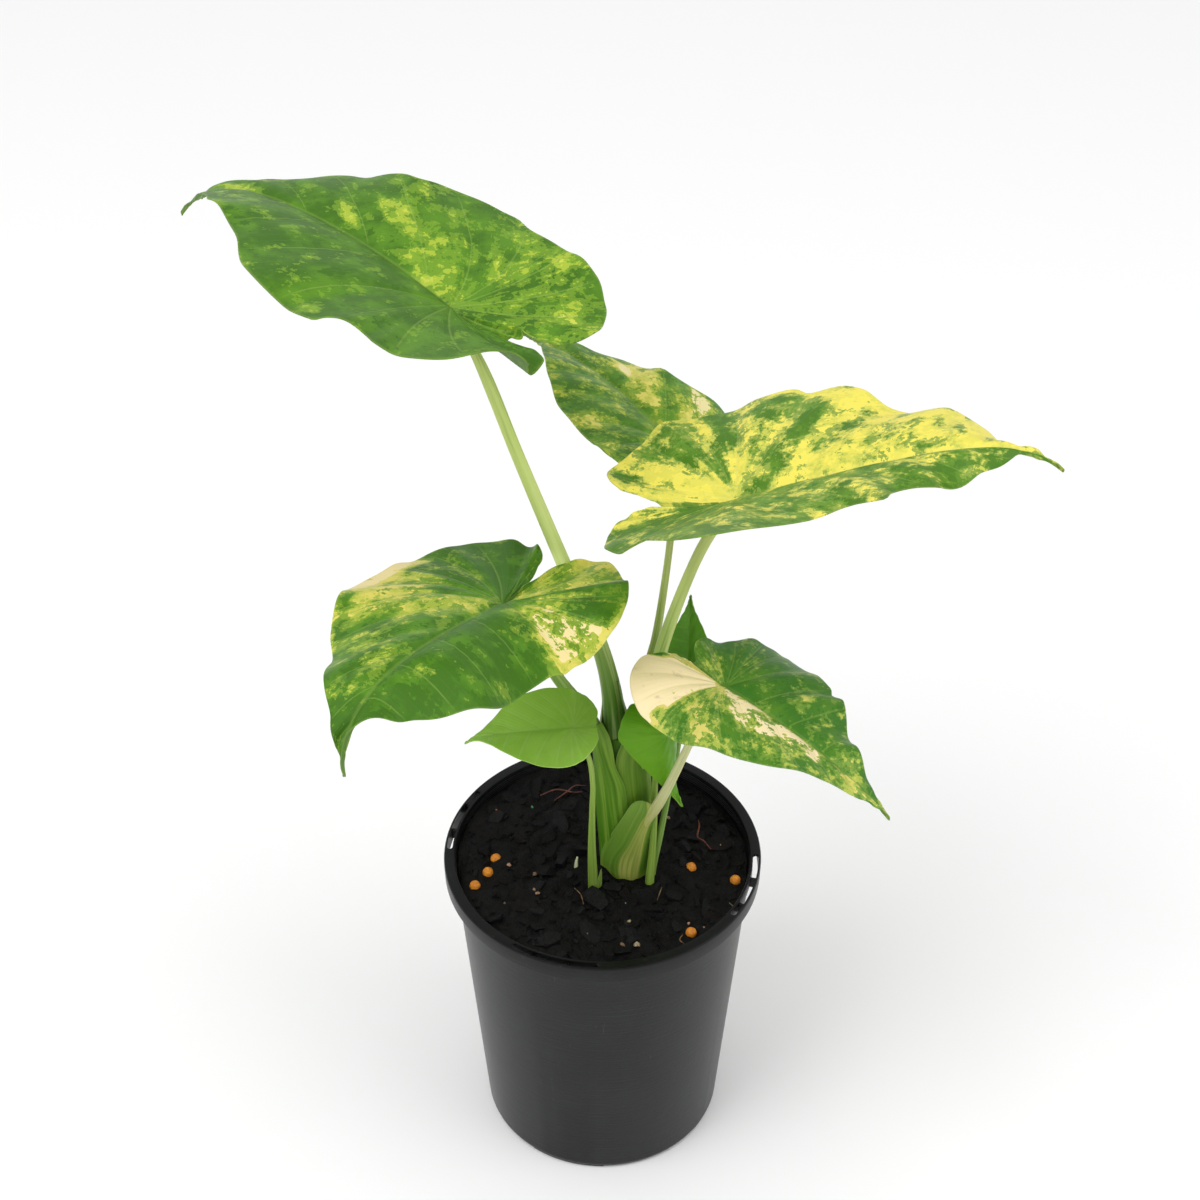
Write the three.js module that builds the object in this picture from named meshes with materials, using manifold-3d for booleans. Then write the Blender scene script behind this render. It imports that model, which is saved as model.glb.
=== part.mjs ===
// A variegated upright elephant ear in a round plastic nursery pot, in millimetres with +Z up.
// The origin is the middle of the pot's underside. The plant is seen from the -Y side, +X to the right.

import * as THREE from "three";
import { mergeVertices } from "three/addons/utils/BufferGeometryUtils.js";
import Module from "manifold-3d";

const wasm = await Module();
wasm.setup();

// Driving dimensions of the pot
const POT_HEIGHT = 152.5;
const RIM_RADIUS = 70;
const MOUTH_RADIUS = 65.2;
const BASE_RADIUS = 53.9;
const SHOULDER_RADIUS = 65;
const WALL = 1.3;
const FLOOR = 2;
const SKIRT_DEPTH = 7.9;
const SKIRT_WALL = 1.1;
const FLANGE_THICKNESS = 1.3;
const BAND_DEPTH = 6.1;
const LEDGE_DEPTH = 9.1;
const POT_SIDES = 48;

// Label slots in the flange and drain notches in the base edge
const FEATURE_ANGLES = [72, 162, 252, 342];
const SLOT_SPAN = 31;
const SLOT_INNER = 66.4;
const SLOT_OUTER = 68.9;
const GUSSET_ANGLES = [-9, 5];
const GUSSET_THICKNESS = 1.2;
const GUSSET_HEIGHT = 4.6;
const NOTCH_SPAN = 33;
const NOTCH_INNER = 44;
const NOTCH_HEIGHT = 4;
const NOTCH_ROOF = 1.6;
const NOTCH_END_SLOPE = 0.82;
const DRAIN_RADIUS = 3;
const DRAIN_RING_RADIUS = 47;
const DRAIN_OFFSETS = [-8, 8];

// Growing mix
const MIX_LEVEL = 145.6;
const MIX_STEP = 7;
const CHIP_COUNT = 120;
const CHIP_RELIEF = 1.5;
const CHIP_TILT = 0.16;
const HOLLOW = { x: 40, y: 40, radius: 26, depth: 3.6 };
const CLEARANCE = 0.35;

// Plant
const BLADE_THICKNESS = 0.8;
const LARGE_STATIONS = 27;
const SMALL_STATIONS = 17;
const VEIN_ANGLE = 50;
const VEIN_REACH = 0.9;
const MIDRIB_REACH = 0.9;
const ARCH_STEPS = 40;
const PRILL_RADIUS = 2.4;
const PRILL_LIFT = 0.55;

const radians = THREE.MathUtils.degToRad;

// A small seeded generator, so that every build draws the same chips.
function seededRandom(seed) {
  let state = seed;
  return () => {
    state = (state * 1664525 + 1013904223) % 4294967296;
    return state / 4294967296;
  };
}

// Solids and the joins and cuts between them
function toSolid(geometry) {
  const bare = geometry.clone();
  bare.deleteAttribute("normal");
  bare.deleteAttribute("uv");
  const merged = mergeVertices(bare, 1e-4);
  const mesh = new wasm.Mesh({
    numProp: 3,
    vertProperties: new Float32Array(merged.attributes.position.array),
    triVerts: new Uint32Array(merged.index.array),
  });
  return new wasm.Manifold(mesh);
}

function toGeometry(solid) {
  const mesh = solid.getMesh();
  const geometry = new THREE.BufferGeometry();
  geometry.setAttribute("position", new THREE.BufferAttribute(new Float32Array(mesh.vertProperties), 3));
  geometry.setIndex(new THREE.BufferAttribute(new Uint32Array(mesh.triVerts), 1));
  geometry.computeVertexNormals();
  return geometry;
}

function joined(solids) {
  return solids.reduce((sum, next) => sum.add(next));
}

function cut(solid, tools) {
  return tools.reduce((rest, tool) => rest.subtract(tool), solid);
}

// The biggest body of a solid: a cut can leave loose crumbs behind.
function mainBody(solid) {
  const bodies = solid.decompose();
  bodies.sort((a, b) => b.volume() - a.volume());
  return bodies[0];
}

function lathe(profile, sides) {
  const points = profile.map(([radius, z]) => new THREE.Vector2(radius, z));
  const geometry = new THREE.LatheGeometry(points, sides);
  geometry.rotateX(Math.PI / 2);
  return toSolid(geometry);
}

// A block between two radii and two angles, from one height to another, with optional round ends.
function sector({ inner, outer, from, to, bottom, top, roundEnds = false }) {
  const start = radians(from);
  const end = radians(to);
  const middle = (inner + outer) / 2;
  const capRadius = (outer - inner) / 2;
  const shape = new THREE.Shape();
  shape.absarc(0, 0, outer, start, end, false);
  if (roundEnds) {
    const capX = middle * Math.cos(end);
    const capY = middle * Math.sin(end);
    shape.absarc(capX, capY, capRadius, end, end + Math.PI, false);
  }
  shape.absarc(0, 0, inner, end, start, true);
  if (roundEnds) {
    const capX = middle * Math.cos(start);
    const capY = middle * Math.sin(start);
    shape.absarc(capX, capY, capRadius, start + Math.PI, start + 2 * Math.PI, false);
  }
  shape.closePath();
  const options = { depth: top - bottom, bevelEnabled: false, curveSegments: 4 };
  const geometry = new THREE.ExtrudeGeometry(shape, options);
  geometry.translate(0, 0, bottom);
  return geometry;
}

// Pot
const bandInner = [MOUTH_RADIUS - 0.3, POT_HEIGHT - BAND_DEPTH];
const ledgeInner = [SHOULDER_RADIUS - WALL, POT_HEIGHT - LEDGE_DEPTH];

function potWall() {
  const skirtBottom = POT_HEIGHT - SKIRT_DEPTH;
  const flangeUnder = POT_HEIGHT - FLANGE_THICKNESS;
  return lathe([
    [0, 0],
    [BASE_RADIUS - 3.2, 0],
    [BASE_RADIUS - 1, 0.9],
    [BASE_RADIUS, 3.2],
    [SHOULDER_RADIUS, POT_HEIGHT - LEDGE_DEPTH - 1],
    [SHOULDER_RADIUS + 0.6, POT_HEIGHT - LEDGE_DEPTH + 0.4],
    [SLOT_INNER - 0.3, POT_HEIGHT - BAND_DEPTH - 1],
    [SLOT_INNER, flangeUnder],
    [SLOT_OUTER, flangeUnder],
    [SLOT_OUTER - 0.2, skirtBottom],
    [SLOT_OUTER - 0.2 + SKIRT_WALL, skirtBottom],
    [RIM_RADIUS, POT_HEIGHT - 0.7],
    [RIM_RADIUS - 0.6, POT_HEIGHT],
    [MOUTH_RADIUS + 0.4, POT_HEIGHT],
    [MOUTH_RADIUS, POT_HEIGHT - 0.5],
    bandInner,
    [ledgeInner[0] + 0.4, ledgeInner[1] + 1.7],
    ledgeInner,
    [BASE_RADIUS - WALL + 0.1, 6],
    [BASE_RADIUS - WALL - 2, FLOOR],
    [0, FLOOR],
  ], POT_SIDES);
}

// The pocket under the base edge, whose ends slope inward towards its roof.
function drainNotch(angle) {
  const bounds = {
    inner: NOTCH_INNER,
    outer: BASE_RADIUS + 4,
    from: angle - NOTCH_SPAN / 2,
    to: angle + NOTCH_SPAN / 2,
    bottom: -1,
    top: NOTCH_HEIGHT,
  };
  const geometry = sector(bounds);
  const position = geometry.attributes.position;
  for (let i = 0; i < position.count; i += 1) {
    if (position.getZ(i) > 0) {
      const radius = Math.hypot(position.getX(i), position.getY(i));
      const turn = Math.atan2(position.getY(i), position.getX(i)) - radians(angle);
      const offset = Math.atan2(Math.sin(turn), Math.cos(turn)) * NOTCH_END_SLOPE + radians(angle);
      position.setXY(i, radius * Math.cos(offset), radius * Math.sin(offset));
    }
  }
  return toSolid(geometry);
}

// The raised floor over a drain notch, grown by a margin where it clears the mix.
function notchRoof(angle, margin = 0) {
  const endWall = THREE.MathUtils.radToDeg((NOTCH_ROOF + margin) / NOTCH_INNER);
  return toSolid(sector({
    inner: NOTCH_INNER - NOTCH_ROOF - margin,
    outer: BASE_RADIUS - WALL / 2 + margin,
    from: angle - NOTCH_SPAN / 2 - endWall,
    to: angle + NOTCH_SPAN / 2 + endWall,
    bottom: FLOOR / 2,
    top: NOTCH_HEIGHT + NOTCH_ROOF + margin,
  }));
}

function drainHole(angle) {
  const depth = 3 * NOTCH_HEIGHT;
  const geometry = new THREE.CylinderGeometry(DRAIN_RADIUS, DRAIN_RADIUS, depth, 12);
  geometry.rotateX(Math.PI / 2);
  geometry.translate(DRAIN_RING_RADIUS, 0, NOTCH_HEIGHT);
  geometry.rotateZ(radians(angle));
  return toSolid(geometry);
}

function labelSlot(angle) {
  return toSolid(sector({
    inner: SLOT_INNER,
    outer: SLOT_OUTER,
    from: angle - SLOT_SPAN / 2,
    to: angle + SLOT_SPAN / 2,
    bottom: POT_HEIGHT - FLANGE_THICKNESS - 0.5,
    top: POT_HEIGHT + 1,
    roundEnds: true,
  }));
}

function gusset(angle) {
  const overlap = 0.4;
  const width = SLOT_OUTER - SLOT_INNER + 2 * overlap;
  const geometry = new THREE.BoxGeometry(width, GUSSET_THICKNESS, GUSSET_HEIGHT);
  const underFlange = POT_HEIGHT - FLANGE_THICKNESS - overlap;
  geometry.translate((SLOT_INNER + SLOT_OUTER) / 2, 0, underFlange - GUSSET_HEIGHT / 2);
  geometry.rotateZ(radians(angle));
  return toSolid(geometry);
}

function potSolid() {
  const gussets = FEATURE_ANGLES.flatMap((angle) => GUSSET_ANGLES.map((step) => gusset(angle + step)));
  const roofs = FEATURE_ANGLES.map((angle) => notchRoof(angle));
  const drains = FEATURE_ANGLES.flatMap((angle) => DRAIN_OFFSETS.map((step) => drainHole(angle + step)));
  const body = joined([potWall(), ...roofs, ...gussets]);
  const cuts = [...FEATURE_ANGLES.map(drainNotch), ...drains, ...FEATURE_ANGLES.map(labelSlot)];
  return mainBody(cut(body, cuts));
}

// Stalks: round or oval tubes along a smooth curve, closed at both ends
function interpolate(values, fraction) {
  const place = fraction * (values.length - 1);
  const index = Math.min(Math.floor(place), values.length - 2);
  return THREE.MathUtils.lerp(values[index], values[index + 1], place - index);
}

// Builds a tube. Its radii are spread evenly along it, and wide stretches each ring from left to right.
function stalk({ points, radii, sides = 8, rings = 12, wide = [1, 1], grow = 0 }) {
  const curve = new THREE.CatmullRomCurve3(points.map((p) => new THREE.Vector3(...p)), false, "centripetal");
  const side = new THREE.Vector3(1, 0, 0);
  const positions = [];
  for (let ring = 0; ring <= rings; ring += 1) {
    const fraction = ring / rings;
    const centre = curve.getPointAt(fraction);
    const along = curve.getTangentAt(fraction);
    const across = side.clone().addScaledVector(along, -side.dot(along)).normalize();
    const depth = new THREE.Vector3().crossVectors(along, across);
    const reach = interpolate(radii, fraction) + grow;
    const stretch = interpolate(wide, fraction);
    for (let step = 0; step < sides; step += 1) {
      const angle = (2 * Math.PI * step) / sides;
      positions.push(
        centre.clone()
          .addScaledVector(across, reach * stretch * Math.cos(angle))
          .addScaledVector(depth, reach * Math.sin(angle)),
      );
    }
  }
  const faces = [];
  for (let ring = 0; ring < rings; ring += 1) {
    for (let step = 0; step < sides; step += 1) {
      const a = ring * sides + step;
      const b = ring * sides + ((step + 1) % sides);
      faces.push([a, b, b + sides], [a, b + sides, a + sides]);
    }
  }
  const last = rings * sides;
  for (let step = 1; step < sides - 1; step += 1) {
    faces.push([0, step + 1, step], [last, last + step, last + step + 1]);
  }
  return indexed(positions, faces);
}

function indexed(positions, faces) {
  const geometry = new THREE.BufferGeometry();
  const numbers = positions.flatMap((p) => [p.x, p.y, p.z]);
  geometry.setAttribute("position", new THREE.Float32BufferAttribute(numbers, 3));
  geometry.setIndex(faces.flat());
  return geometry;
}

// Leaf blades
// Half of the blade's outline from the drip tip round to the notch, as shares of the leaf's
// length (or of its lobe's length where negative) and of its half width.
const HALF_OUTLINE = [
  [1, 0], [0.93, 0.035], [0.86, 0.1], [0.75, 0.27], [0.6, 0.5], [0.42, 0.72], [0.22, 0.9], [0, 1],
  [-0.28, 0.99], [-0.58, 0.87], [-0.84, 0.65], [-1, 0.4], [-0.95, 0.17],
];

function smooth(values, fraction) {
  const place = fraction * (values.length - 1);
  const index = Math.min(Math.floor(place), values.length - 2);
  const before = index > 0 ? values[index - 1] : 2 * values[0] - values[1];
  const after = index + 2 < values.length ? values[index + 2] : 2 * values[index + 1] - values[index];
  const t = place - index;
  const [a, b] = [values[index], values[index + 1]];
  const slope = b - before;
  const bend = 2 * before - 5 * a + 4 * b - after;
  const twist = 3 * a - before - 3 * b + after;
  return 0.5 * (2 * a + slope * t + bend * t ** 2 + twist * t ** 3);
}

function outlinePoint(leaf, fraction) {
  const notch = leaf.notch;
  const control = [
    ...HALF_OUTLINE,
    [-(0.3 * notch + 0.665), 0.07],
    [-(0.75 * notch + 0.2375), 0.02],
    [-notch, 0],
  ];
  return [smooth(control.map((p) => p[0]), fraction), smooth(control.map((p) => p[1]), fraction)];
}

// Carries a flat leaf point to space: the midrib arches, the halves fold up from it, the margin waves.
function placeOnLeaf(leaf, side, along, across, lift) {
  const arch = { x: 0, z: 0, angle: 0 };
  const forward = THREE.MathUtils.clamp(along, 0, leaf.length);
  for (let i = 0; i < ARCH_STEPS; i += 1) {
    const share = ((i + 0.5) / ARCH_STEPS) * (forward / leaf.length);
    const angle = -radians(leaf.bend * share + leaf.tipBend * share ** 6);
    arch.x += (Math.cos(angle) * forward) / ARCH_STEPS;
    arch.z += (Math.sin(angle) * forward) / ARCH_STEPS;
  }
  const reachShare = forward / leaf.length;
  arch.angle = -radians(leaf.bend * reachShare + leaf.tipBend * reachShare ** 6);
  const past = Math.max(along - leaf.length, 0);
  arch.x += past * Math.cos(arch.angle);
  arch.z += past * Math.sin(arch.angle);
  const behind = Math.max(-along, 0);
  const droop = (radians(leaf.lobeDroop) * behind) / leaf.lobes[0];
  arch.x -= behind * Math.cos(droop / 2);
  arch.z -= behind * Math.sin(droop / 2);
  const rise = radians(leaf.fold + (leaf.cup * across) / leaf.widths[0]);
  const outward = side * across * Math.cos(rise);
  const upward = across * Math.sin(rise) + lift;
  const local = new THREE.Vector3(
    arch.x - Math.sin(arch.angle) * upward,
    outward,
    arch.z + Math.cos(arch.angle) * upward,
  );
  return local.applyMatrix4(leafMatrix(leaf));
}

// The leaf's frame: X runs along the midrib, Y to its left and Z out of the upper face.
function leafMatrix(leaf) {
  const [yaw, pitch, roll] = leaf.turn.map(radians);
  const levelRun = Math.cos(pitch);
  const along = new THREE.Vector3(Math.cos(yaw) * levelRun, Math.sin(yaw) * levelRun, Math.sin(pitch));
  const level = new THREE.Vector3(-Math.sin(yaw), Math.cos(yaw), 0);
  const raised = new THREE.Vector3().crossVectors(along, level);
  const left = level.clone().multiplyScalar(Math.cos(roll)).addScaledVector(raised, Math.sin(roll));
  const up = raised.clone().multiplyScalar(Math.cos(roll)).addScaledVector(level, -Math.sin(roll));
  return new THREE.Matrix4().makeBasis(along, left, up).setPosition(...leaf.attach);
}

// One point of a half blade: fraction runs round the margin and spread from the midrib out to it.
// The two halves grow together behind the petiole, so their lobes share one length at the notch.
function bladePoint(leaf, half, fraction, spread) {
  const [lengthShare, widthShare] = outlinePoint(leaf, fraction);
  const meanLobe = (leaf.lobes[0] + leaf.lobes[1]) / 2;
  const grownTogether = THREE.MathUtils.smoothstep(fraction, 0.86, 1);
  const lobe = THREE.MathUtils.lerp(leaf.lobes[half], meanLobe, grownTogether);
  const marginAlong = lengthShare * (lengthShare > 0 ? leaf.length : lobe);
  const marginAcross = widthShare * leaf.widths[half];
  const meanWidth = (leaf.widths[0] + leaf.widths[1]) / 2;
  const veinRun = (VEIN_REACH * widthShare * meanWidth) / Math.tan(radians(VEIN_ANGLE));
  const rootAlong = Math.max(lengthShare * leaf.length - veinRun, 0);
  const reach = spread * smooth([1, ...leaf.reach[half], 1], fraction);
  const lift = spread * spread * smooth([0, ...leaf.lift[half], 0], fraction);
  const side = half === 0 ? 1 : -1;
  const along = rootAlong + (marginAlong - rootAlong) * reach;
  return placeOnLeaf(leaf, side, along, marginAcross * reach, lift);
}

// The blade's middle surface as a welded sheet of triangles with the upper face out.
function bladeSheet(leaf, stations, rows) {
  const positions = [];
  const seen = new Map();
  const index = (point) => {
    const key = point.toArray().map((value) => Math.round(value * 1000)).join();
    if (!seen.has(key)) {
      seen.set(key, positions.length);
      positions.push(point);
    }
    return seen.get(key);
  };
  const faces = [];
  for (const half of [0, 1]) {
    const grid = [];
    for (let i = 0; i < stations; i += 1) {
      const spreads = [0, ...rows];
      grid.push(spreads.map((spread) => index(bladePoint(leaf, half, i / (stations - 1), spread))));
    }
    for (let i = 0; i < stations - 1; i += 1) {
      for (let j = 0; j < rows.length; j += 1) {
        const quad = [grid[i][j], grid[i][j + 1], grid[i + 1][j + 1], grid[i + 1][j]];
        const pair = [[quad[0], quad[1], quad[2]], [quad[0], quad[2], quad[3]]];
        for (const face of pair) {
          if (new Set(face).size === 3) {
            faces.push(half === 0 ? face : face.reverse());
          }
        }
      }
    }
  }
  return { positions, faces };
}

// Gives a sheet its thickness: the same triangles on both faces, and a wall round the open edge.
function thicken({ positions, faces }, thickness) {
  const normals = positions.map(() => new THREE.Vector3());
  const edges = new Map();
  for (const [a, b, c] of faces) {
    const normal = new THREE.Vector3()
      .crossVectors(positions[b].clone().sub(positions[a]), positions[c].clone().sub(positions[a]));
    [a, b, c].forEach((corner) => normals[corner].add(normal));
    [[a, b], [b, c], [c, a]].forEach(([from, to]) => edges.set(`${from},${to}`, [from, to]));
  }
  normals.forEach((normal) => normal.normalize());
  const shifted = (amount) => positions.map((p, i) => p.clone().addScaledVector(normals[i], amount));
  const count = positions.length;
  const solidFaces = [];
  for (const [a, b, c] of faces) {
    solidFaces.push([a, b, c], [c + count, b + count, a + count]);
  }
  for (const [from, to] of edges.values()) {
    if (!edges.has(`${to},${from}`)) {
      solidFaces.push([to, from, from + count], [to, from + count, to + count]);
    }
  }
  return indexed([...shifted(thickness / 2), ...shifted(-thickness / 2)], solidFaces);
}

// The midrib under the blade, thinning towards the drip tip.
function midrib(leaf) {
  const points = [];
  for (let i = 0; i <= 6; i += 1) {
    const share = i / 6;
    const sunk = leaf.rib * (0.75 - 0.45 * share);
    points.push(placeOnLeaf(leaf, 1, MIDRIB_REACH * leaf.length * share, 0, -sunk).toArray());
  }
  return toSolid(stalk({ points, radii: [leaf.rib, leaf.rib * 0.7, 0.45], sides: 5, rings: 7 }));
}

function petiole(leaf, grow = 0) {
  return toSolid(stalk({ ...leaf.petiole, points: [...leaf.petiole.points, leaf.attach], grow }));
}

function leafSolid(leaf) {
  const stations = leaf.small ? SMALL_STATIONS : LARGE_STATIONS;
  const rows = [0.5, 1];
  const blade = toSolid(thicken(bladeSheet(leaf, stations, rows), BLADE_THICKNESS));
  return joined([blade, midrib(leaf), petiole(leaf)]);
}

// Leaves of the plant
// attach is where the petiole meets the blade. turn holds the yaw, pitch and roll of the midrib.
// lobes and widths are for the left and right halves. The midrib arches by bend along its length
// and by tipBend close to the drip tip. lift is how far the margin waves out of the blade, and reach
// how far it swells or draws in, at even steps from the tip round to the notch.
const EVEN = [1, 1, 1, 1, 1, 1, 1, 1, 1];
const FLAT = [0, 0, 0, 0, 0, 0, 0, 0, 0];

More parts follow.
